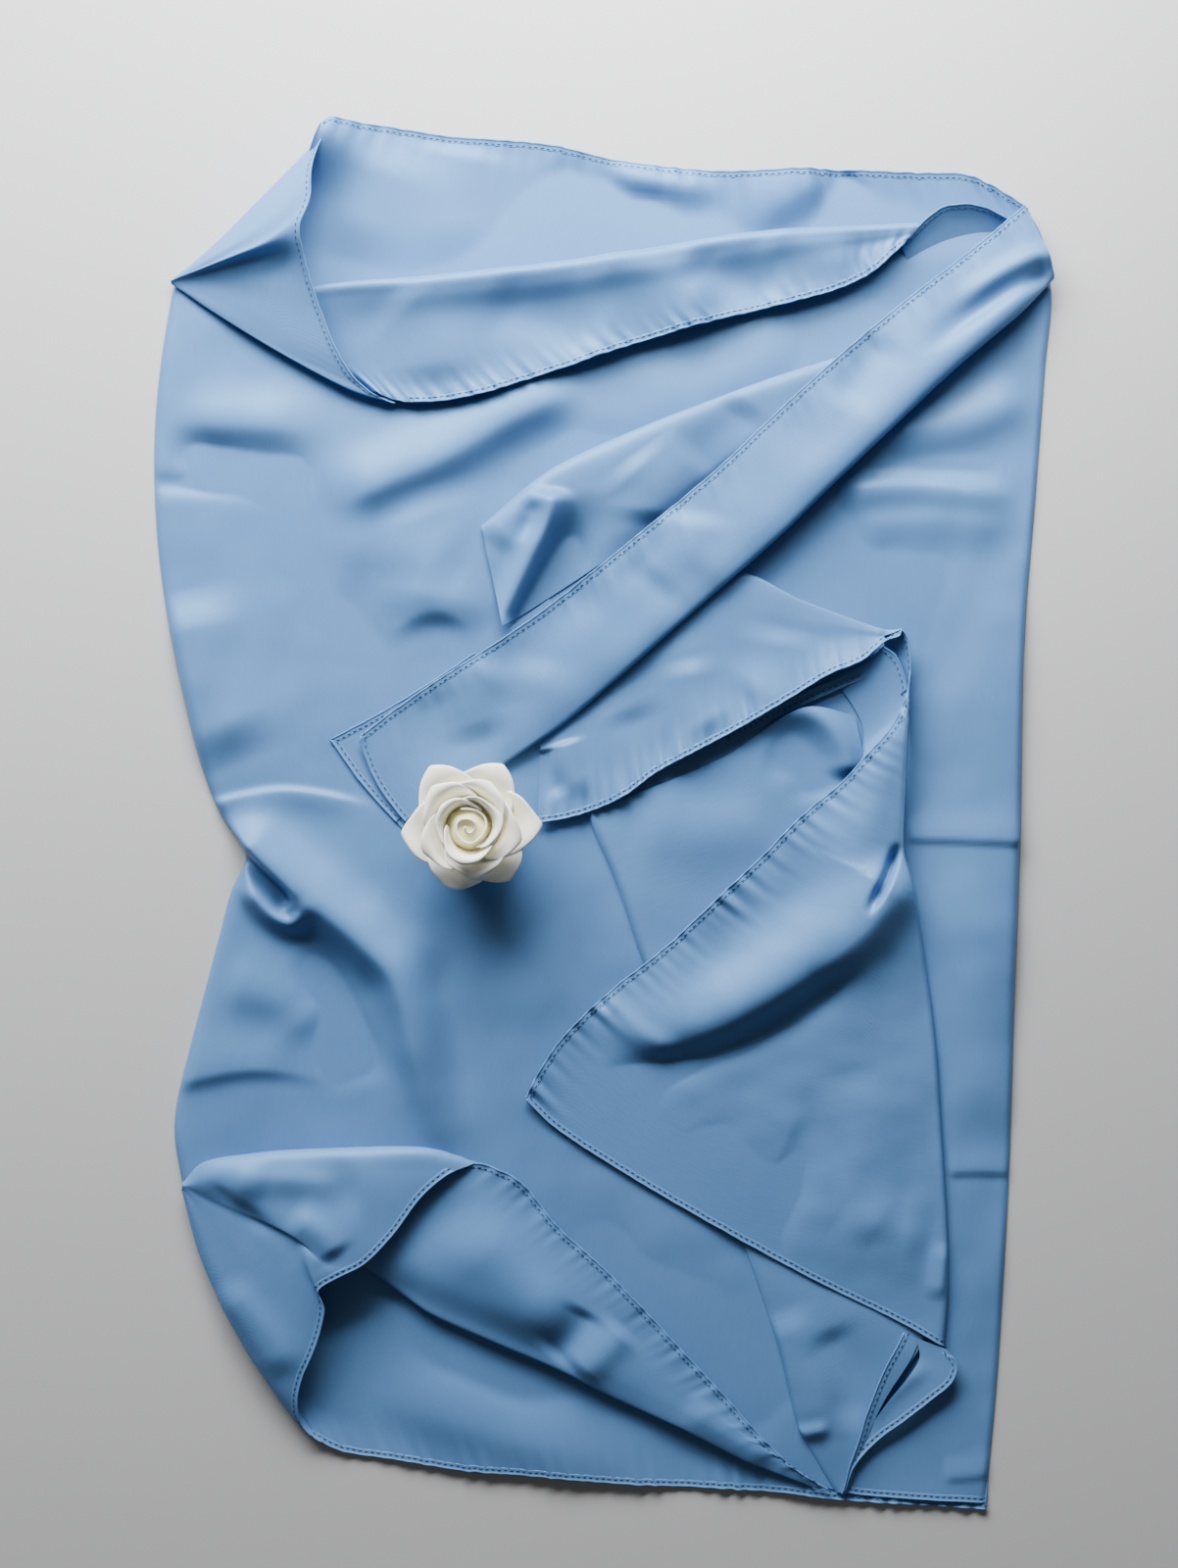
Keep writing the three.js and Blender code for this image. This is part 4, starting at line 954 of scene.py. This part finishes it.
print("bottom left")
cornerRails = [
    [(-0.903, -0.535, 3), (-0.781, -0.506, 3.2), (-0.599, -0.498, 3.4), (-0.421, -0.495, 3.6),
     (-0.304, -0.506, 4)],
    [(-0.929, -0.522, 5), (-0.887, -0.493, 7), (-0.777, -0.478, 9), (-0.598, -0.47, 9.4),
     (-0.397, -0.469, 8.8), (-0.342, -0.477, 7.6), (-0.281, -0.491, 6.6)],
    [(-0.93, -0.523, 6.5), (-0.871, -0.497, 11), (-0.761, -0.484, 13.5), (-0.593, -0.477, 14),
     (-0.405, -0.475, 12.4), (-0.345, -0.483, 10.5), (-0.29, -0.494, 8.4)],
    [(-0.929, -0.524, 7.5), (-0.846, -0.506, 14.5), (-0.699, -0.505, 17), (-0.549, -0.502, 16.6),
     (-0.421, -0.503, 14.6), (-0.34, -0.506, 12)],
    [(-0.929, -0.525, 8), (-0.828, -0.519, 15.6), (-0.685, -0.538, 18), (-0.57, -0.549, 18),
     (-0.463, -0.539, 16.4), (-0.4, -0.538, 14.6)],
    [(-0.929, -0.526, 8), (-0.816, -0.537, 15), (-0.685, -0.568, 18), (-0.591, -0.593, 18.4),
     (-0.506, -0.594, 17.4), (-0.463, -0.592, 16.6)],
    [(-0.929, -0.526, 8), (-0.809, -0.554, 13.4), (-0.673, -0.594, 17.4), (-0.6, -0.63, 18.4),
     (-0.553, -0.635, 18), (-0.525, -0.632, 17.4)],
    [(-0.929, -0.527, 8), (-0.81, -0.563, 12), (-0.665, -0.601, 16.4), (-0.649, -0.618, 18.8),
     (-0.635, -0.646, 19.4), (-0.623, -0.669, 18.4)],
    [(-0.929, -0.528, 7.8), (-0.818, -0.578, 11.6), (-0.7, -0.626, 14.6), (-0.656, -0.65, 16.6),
     (-0.63, -0.672, 17.4), (-0.611, -0.695, 16.8)],
    [(-0.929, -0.529, 7.4), (-0.836, -0.598, 11), (-0.74, -0.675, 13.4), (-0.674, -0.713, 14.8),
     (-0.632, -0.752, 14.6)],
    [(-0.93, -0.531, 7), (-0.863, -0.629, 10), (-0.784, -0.721, 12), (-0.71, -0.779, 13),
     (-0.661, -0.796, 12.8)],
    [(-0.93, -0.533, 6.4), (-0.872, -0.641, 8.6), (-0.789, -0.744, 10), (-0.716, -0.809, 10.4),
     (-0.673, -0.831, 10.6)],
    [(-0.932, -0.533, 5.6), (-0.882, -0.64, 6.8), (-0.8, -0.749, 7.6), (-0.717, -0.828, 7.8),
     (-0.666, -0.868, 7)],
    [(-0.933, -0.532, 4.6), (-0.888, -0.635, 5), (-0.814, -0.728, 5.2), (-0.739, -0.807, 5),
     (-0.678, -0.866, 4.6), (-0.624, -0.896, 4)],
    [(-0.924, -0.535, 3), (-0.878, -0.634, 1.8), (-0.804, -0.728, 1.6), (-0.726, -0.805, 1.4),
     (-0.661, -0.864, 1.2), (-0.609, -0.893, 1.2)],
]
bottomLeft = loft(cornerRails, 70, 130)
bottomLeftCreases = [
    ([(-0.875, -0.516), (-0.796, -0.553), (-0.709, -0.593)], -0.5, 4, 5, (0.3, 0.3)),
    ([(-0.84, -0.511), (-0.688, -0.516), (-0.535, -0.525)], 1.6, 9, 12, (0.3, 0.3)),
    ([(-0.796, -0.511), (-0.688, -0.53), (-0.513, -0.519)], -1.6, 14, 16),
    ([(-0.688, -0.559), (-0.622, -0.587), (-0.579, -0.623)], 1.4, 9, 10, (0.3, 0.2)),
    ([(-0.84, -0.658), (-0.731, -0.743), (-0.688, -0.8)], 1.2, 10, 14),
]
for crease in bottomLeftCreases:
    fold(bottomLeft, *crease)
ripple(bottomLeft, 71, 40, 0.25)
clothFrom("pouch_top_cloth", bottomLeft, ["pouch_top", "side_flap"], flat=(0.152, 0.2, 0.0138))
hemOn("hem_pouch_top", "pouch_top_cloth", "end", (0.1, 0.95), 72)

turnedRails = [
    [(-0.638, -0.614, 3.2), (-0.536, -0.628, 3.2), (-0.458, -0.665, 3.2), (-0.371, -0.707, 3.2),
     (-0.241, -0.745, 3.2), (-0.098, -0.784, 3), (0.011, -0.817, 3), (0.178, -0.866, 3),
     (0.328, -0.914, 2.8), (0.456, -0.953, 2.8)],
    [(-0.628, -0.61, 5.4), (-0.534, -0.64, 6.4), (-0.456, -0.679, 7), (-0.385, -0.711, 7.4),
     (-0.24, -0.753, 7.4), (-0.097, -0.792, 7), (0.028, -0.833, 6.6), (0.177, -0.877, 6),
     (0.327, -0.926, 5), (0.475, -0.964, 3.6)],
    [(-0.619, -0.6, 6.6), (-0.527, -0.629, 8), (-0.44, -0.666, 9), (-0.367, -0.697, 9.4),
     (-0.22, -0.736, 9.4), (-0.078, -0.773, 9), (0.052, -0.813, 8.4), (0.194, -0.859, 7.4),
     (0.337, -0.911, 6.2), (0.485, -0.962, 4.2)],
    [(-0.575, -0.575, 7), (-0.467, -0.599, 8.6), (-0.367, -0.629, 9.8), (-0.25, -0.66, 10),
     (-0.1, -0.711, 9.4), (0.052, -0.774, 8.4), (0.203, -0.84, 7.2), (0.355, -0.905, 6),
     (0.498, -0.966, 4.2)],
    [(-0.467, -0.533, 6.4), (-0.359, -0.546, 8), (-0.251, -0.577, 8.4), (-0.121, -0.636, 8),
     (0.03, -0.718, 7.2), (0.182, -0.804, 6.4), (0.333, -0.892, 5.6), (0.507, -0.968, 4)],
    [(-0.368, -0.51, 6), (-0.281, -0.493, 6.6), (-0.227, -0.504, 6.6), (-0.184, -0.52, 6.6),
     (-0.098, -0.587, 6), (-0.009, -0.639, 5.8), (0.08, -0.698, 5.6), (0.177, -0.766, 5.4),
     (0.266, -0.828, 5.2), (0.355, -0.892, 5), (0.438, -0.942, 4.6), (0.516, -0.971, 4.2)],
]
turned = loft(turnedRails, 180, 70)
turnedCreases = [
    ([(0.052, -0.729), (-0.013, -0.772), (-0.057, -0.8)], 1.4, 10, 12, (0.2, 0.2)),
    ([(-0.035, -0.701), (-0.078, -0.743), (-0.122, -0.772)], -1.4, 10, 12, (0.2, 0.2)),
    ([(-0.339, -0.559), (-0.187, -0.658), (-0.013, -0.757)], 2.6, 20, 24, (0.3, 0.4)),
    ([(0.183, -0.828), (0.27, -0.885), (0.379, -0.928)], 1.2, 10, 12),
    ([(-0.531, -0.634), (-0.405, -0.689), (-0.252, -0.732), (-0.035, -0.789)], -1.4, 12, 12),
]
for crease in turnedCreases:
    fold(turned, *crease)
ripple(turned, 73, 45, 0.3)
pucker(turned, "last", 74, 0.4, 9)
clothFrom("turned_up_front_cloth", turned, ["turned_up_front"], flat=(0.292, 0.09, 0.0152))
hemOn("hem_turned_front", "turned_up_front_cloth", "last", (0.07, 1), 75)

print("stitching")
sewHems()

print("rose")
# depth is painted shade, a darker yellower colour low in each leaf and the bud and over the cup; edge is a
# painted highlight along the leaves' upper rims; tone is the foam's own cream
foam = {
    "tone": (1.0, 0.985, 0.82, 1), "depth": (0.92, 0.85, 0.46, 1), "edge": (1.0, 1.0, 0.93, 1),
    "toneFrom": 0.6, "shadeTo": 0.05, "highlightFrom": 0.94,
    "roughness": 0.62, "sheen": 0.1, "subsurface": 0.25, "bleed": (0.004, 0.004, 0.0025),
    "grain": 700, "grainStrength": 0.12, "grainHeight": 0.0004,
}
roseBox = [Vector(corner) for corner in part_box("rose_base")]
bloomBoxes = [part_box(name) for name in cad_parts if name.startswith(("rose", "petal"))]
bloomLow = [min(box[0][k] for box in bloomBoxes) for k in range(3)]
bloomHigh = [max(box[1][k] for box in bloomBoxes) for k in range(3)]
bloomShare = 0.93  # the leaves' reach as a share of the bloom's
roseMiddle = Vector(((roseBox[0].x + roseBox[1].x) / 2, (roseBox[0].y + roseBox[1].y) / 2, roseBox[0].z))
roseRadius = min(bloomHigh[0] - bloomLow[0], bloomHigh[1] - bloomLow[1]) / 2 * bloomShare
roseTall = bloomHigh[2] - bloomLow[2]


def foamMaterial():
    material = bpy.data.materials.new("rose foam with painted shade")
    material.use_nodes = True
    tree = material.node_tree
    link = tree.links.new
    shader = tree.nodes["Principled BSDF"]
    run = node(tree, "ShaderNodeUVMap", uv_map="ClothRun")
    split = node(tree, "ShaderNodeSeparateXYZ")
    link(run.outputs[0], split.inputs[0])
    # colour up each leaf: painted shade at the foot, the foam's own tone, then a painted highlight at the rim
    ramp = node(tree, "ShaderNodeValToRGB")
    ramp.color_ramp.elements[0].color = foam["depth"]
    ramp.color_ramp.elements[1].color = foam["tone"]
    ramp.color_ramp.elements[0].position = foam["shadeTo"]
    ramp.color_ramp.elements[1].position = foam["toneFrom"]
    rim = ramp.color_ramp.elements.new(foam["highlightFrom"])
    rim.color = foam["edge"]
    link(split.outputs[1], ramp.inputs["Fac"])
    link(ramp.outputs["Color"], shader.inputs["Base Color"])
    place = node(tree, "ShaderNodeTexCoord")
    grain = node(tree, "ShaderNodeTexNoise", Scale=foam["grain"], Detail=4.0)
    link(place.outputs["Object"], grain.inputs["Vector"])
    relief = node(tree, "ShaderNodeBump", Strength=foam["grainStrength"], Distance=foam["grainHeight"])
    link(grain.outputs["Fac"], relief.inputs["Height"])
    link(relief.outputs["Normal"], shader.inputs["Normal"])
    shader.inputs["Roughness"].default_value = foam["roughness"]
    shader.inputs["Subsurface Weight"].default_value = foam["subsurface"]
    shader.inputs["Subsurface Radius"].default_value = foam["bleed"]
    shader.inputs["Sheen Weight"].default_value = foam["sheen"]
    return material


foamSkin = foamMaterial()


def leafFrom(name, cad, grid, thickness):  # a closed leaf of foam from its middle surface
    rows, columns = grid.shape[:2]
    over = np.gradient(grid, axis=1)
    up = np.gradient(grid, axis=0)
    normal = np.cross(over, up)
    normal /= np.linalg.norm(normal, axis=2)[..., None] + 1e-12
    share = np.linspace(0, 1, rows)[:, None]
    side = np.abs(np.linspace(-1, 1, columns))[None, :]
    edge = np.minimum(1, np.sqrt(np.maximum(0, 1 - np.maximum(share, side) ** 10)) + 0.35)
    half = (thickness / 2 * mm) * edge[..., None]
    points = np.concatenate([(grid + normal * half).reshape(-1, 3), (grid - normal * half).reshape(-1, 3)])
    count = rows * columns
    faces = []
    for i in range(rows - 1):
        for j in range(columns - 1):
            first = i * columns + j
            faces.append((first, first + 1, first + columns + 1, first + columns))
            faces.append((
                count + first, count + first + columns, count + first + columns + 1, count + first + 1,
            ))
    rim = [j for j in range(columns - 1)]
    rim += [i * columns + columns - 1 for i in range(rows - 1)]
    rim += [(rows - 1) * columns + j for j in range(columns - 1, 0, -1)]
    rim += [i * columns for i in range(rows - 1, 0, -1)]
    for k, here in enumerate(rim):
        after = rim[(k + 1) % len(rim)]
        faces.append((after, here, count + here, count + after))
    mesh = meshFrom(name, points.tolist(), faces)
    piece = pieceFrom(
        mesh,
        lambda vertex: (vertex % columns / (columns - 1), vertex % count // columns / (rows - 1)),
        foamSkin,
    )
    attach(piece, "rose")
    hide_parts(*cad)


# each ring of leaves, as shares of the bloom's radius and height
# turn is where its first leaf looks, in degrees
petals = {
    "petal_inner": {
        "turn": 23, "foot": 0.30, "lip": 0.45, "low": 0.30, "top": 0.97,
        "wide": 1.46, "roll": 0.03, "point": 0.30,
    },
    "petal_middle": {
        "turn": 63, "foot": 0.42, "lip": 0.70, "low": 0.26, "top": 0.86,
        "wide": 1.6, "roll": 0.05, "point": 0.34,
    },
    "petal_outer": {
        "turn": 6, "foot": 0.52, "lip": 0.96, "low": 0.22, "top": 0.64,
        "wide": 1.52, "roll": 0.05, "point": 0.38,
    },
}


def petalGrid(style, seed, count, rows=26, columns=40):
    draw = random.Random(seed)
    lean = draw.uniform(-0.06, 0.06)
    twist = draw.uniform(-0.10, 0.10)
    tall = draw.uniform(-0.03, 0.02)
    wave = [draw.uniform(0, fullTurn) for _ in range(3)]
    grid = np.zeros((rows, columns, 3))
    for i in range(rows):
        rise = i / (rows - 1)
        for j in range(columns):
            side = 2 * j / (columns - 1) - 1
            # the outline: broad shoulders and a blunt point in the middle
            length = 1 - 0.16 * abs(side) ** 5 - style["point"] * abs(side) ** 1.1
            reach = rise * length
            angle = side * style["wide"] * math.pi / count * (0.7 + 0.3 * rise ** 0.5) + twist * rise
            spread = style["foot"] + (style["lip"] - style["foot"]) * reach ** 1.5
            curl = max(0.0, reach - 0.70) / 0.30
            spread += style["roll"] * curl ** 2 + lean * reach * (1 - abs(side))
            climb = math.sin(min(reach, 0.92) / 0.92 * math.pi / 2)
            height = style["low"] + (style["top"] + tall - style["low"]) * climb
            height -= style["roll"] * 0.75 * curl ** 2.4
            spread += 0.05 * side  # one side lies over the next leaf
            slow = 0.012 * math.sin(side * 5 + wave[0]) * rise
            quick = 0.008 * math.sin(side * 9 + wave[1]) * rise ** 2
            spread += slow + quick
            height += 0.014 * math.sin(side * 6 + wave[2]) * rise
            radius = spread * roseRadius
            grid[i, j] = (radius * math.cos(angle), radius * math.sin(angle), height * roseTall)
    return grid


for family, style in petals.items():
    names = sorted(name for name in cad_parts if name.startswith(family))
    for order, cad in enumerate(names):
        grid = petalGrid(style, 100 + 7 * order + len(family), len(names))
        turn = math.radians(style["turn"] + 360 * order / len(names))
        spun = grid.copy()
        spun[..., 0] = grid[..., 0] * math.cos(turn) - grid[..., 1] * math.sin(turn) + roseMiddle.x
        spun[..., 1] = grid[..., 0] * math.sin(turn) + grid[..., 1] * math.cos(turn) + roseMiddle.y
        spun[..., 2] = grid[..., 2] + roseMiddle.z
        leafFrom(cad + "_leaf", [cad], spun, 1.1)

# the bud: one leaf wound up as a spiral
bud = {
    "rows": 22, "columns": 150, "start": 2.6, "turns": 1.9,
    "core": 0.035, "spread": 0.27, "foot": 0.28, "tip": 0.985,
}
budGrid = np.zeros((bud["rows"], bud["columns"], 3))
for i in range(bud["rows"]):
    rise = i / (bud["rows"] - 1)
    for j in range(bud["columns"]):
        wind = j / (bud["columns"] - 1)
        angle = bud["start"] + wind * 2 * math.pi * bud["turns"]
        radius = (bud["core"] + bud["spread"] * wind ** 1.15) * (0.82 + 0.18 * rise)
        radius *= 1 + 0.05 * math.sin(angle * 3)
        top = bud["tip"] - 0.085 * wind - 0.02 * math.sin(angle * 1.5)
        height = bud["foot"] + (top - bud["foot"]) * math.sin(rise * math.pi / 2)
        budGrid[i, j] = (
            roseMiddle.x + radius * roseRadius * math.cos(angle),
            roseMiddle.y + radius * roseRadius * math.sin(angle),
            roseMiddle.z + height * roseTall,
        )
leafFrom("rose_bud_spiral", ["rose_bud"], budGrid, 1.0)

# the cup under the leaves, revolved: radius and height as shares of the bloom's
cupProfile = [
    (0.02, 0.0), (0.30, 0.0), (0.46, 0.03), (0.60, 0.10), (0.66, 0.19), (0.62, 0.30), (0.50, 0.44),
    (0.40, 0.60), (0.30, 0.72), (0.255, 0.80), (0.20, 0.865), (0.10, 0.89), (0.02, 0.90),
]
cupSides = 64


def cupFrom(name):
    line = evenly(through([np.array([radius, 0, height]) for radius, height in cupProfile], 8), 60)
    points = []
    for k in range(cupSides):
        angle = 2 * math.pi * k / cupSides
        for share, _, height in line:
            radius = share * roseRadius * (1 + 0.03 * math.cos(5 * angle))
            points.append((
                roseMiddle.x + radius * math.cos(angle),
                roseMiddle.y + radius * math.sin(angle),
                roseMiddle.z + height * roseTall,
            ))
    size = len(line)
    faces = []
    for k in range(cupSides):
        for m in range(size - 1):
            here = k * size + m
            beside = (k + 1) % cupSides * size + m
            faces.append((here, beside, beside + 1, here + 1))
    faces.append(tuple(k * size for k in reversed(range(cupSides))))
    faces.append(tuple(k * size + size - 1 for k in range(cupSides)))
    # the whole cup takes the ramp's colour at 0.2, close to the painted shade of the depths
    return pieceFrom(meshFrom(name, points, faces), lambda vertex: (0.5, 0.2), foamSkin)


cup = cupFrom("rose_cup")
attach(cup, "rose")
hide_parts("rose_base")

print("light and camera")
ground = {"shade": (0.52, 0.53, 0.55, 1), "size": 6.0, "roughness": 0.6}
floorMaterial = bpy.data.materials.new("pale table")
floorMaterial.use_nodes = True
floorShader = floorMaterial.node_tree.nodes["Principled BSDF"]
floorShader.inputs["Base Color"].default_value = ground["shade"]
floorShader.inputs["Roughness"].default_value = ground["roughness"]
reach = ground["size"] / 2
corners = [(-reach, -reach, 0), (reach, -reach, 0), (reach, reach, 0), (-reach, reach, 0)]
floorMesh = meshFrom("table", corners, [(0, 1, 2, 3)])
floorMesh.materials.append(floorMaterial)
table = bpy.data.objects.new("table", floorMesh)
scene.collection.objects.link(table)

room = {"tint": (1.0, 0.97, 0.94, 1), "strength": 0.07}
world = bpy.data.worlds.new("room light")
world.use_nodes = True
world.node_tree.nodes["Background"].inputs["Color"].default_value = room["tint"]
world.node_tree.nodes["Background"].inputs["Strength"].default_value = room["strength"]
scene.world = world


def areaLight(name, size, power, place, target=None, tint=(1, 1, 1)):  # faces down where it has no target
    light = bpy.data.lights.new(name, "AREA")
    light.size = size[0]
    if len(size) > 1:
        light.shape = "RECTANGLE"
        light.size_y = size[1]
    light.energy = power
    light.color = tint
    lamp = bpy.data.objects.new(name, light)
    lamp.location = place
    if target:
        lamp.rotation_euler = (Vector(target) - lamp.location).to_track_quat("-Z", "Y").to_euler()
    scene.collection.objects.link(lamp)


areaLight("window", (1.4, 0.6), 72, (-0.44, 1.30, 0.66), (0, 0.05, 0), (1.0, 0.99, 0.97))
areaLight("room", (1.6,), 0.6, (0.5, -0.4, 1.7), (0, 0, 0), (0.93, 0.96, 1.0))
areaLight("window glow", (0.5,), 10, (0.03, 0.70, 0.42))

lookout = {"lens": 63.4, "sensor": 36, "nearest": 0.01, "place": (-0.0078, 0.0187, 1.1)}
camera = bpy.data.cameras.new("from above")
camera.lens = lookout["lens"]
camera.sensor_width = lookout["sensor"]
camera.sensor_fit = "HORIZONTAL"
camera.clip_start = lookout["nearest"]
cameraObject = bpy.data.objects.new("from above", camera)
cameraObject.location = lookout["place"]
scene.collection.objects.link(cameraObject)
scene.camera = cameraObject
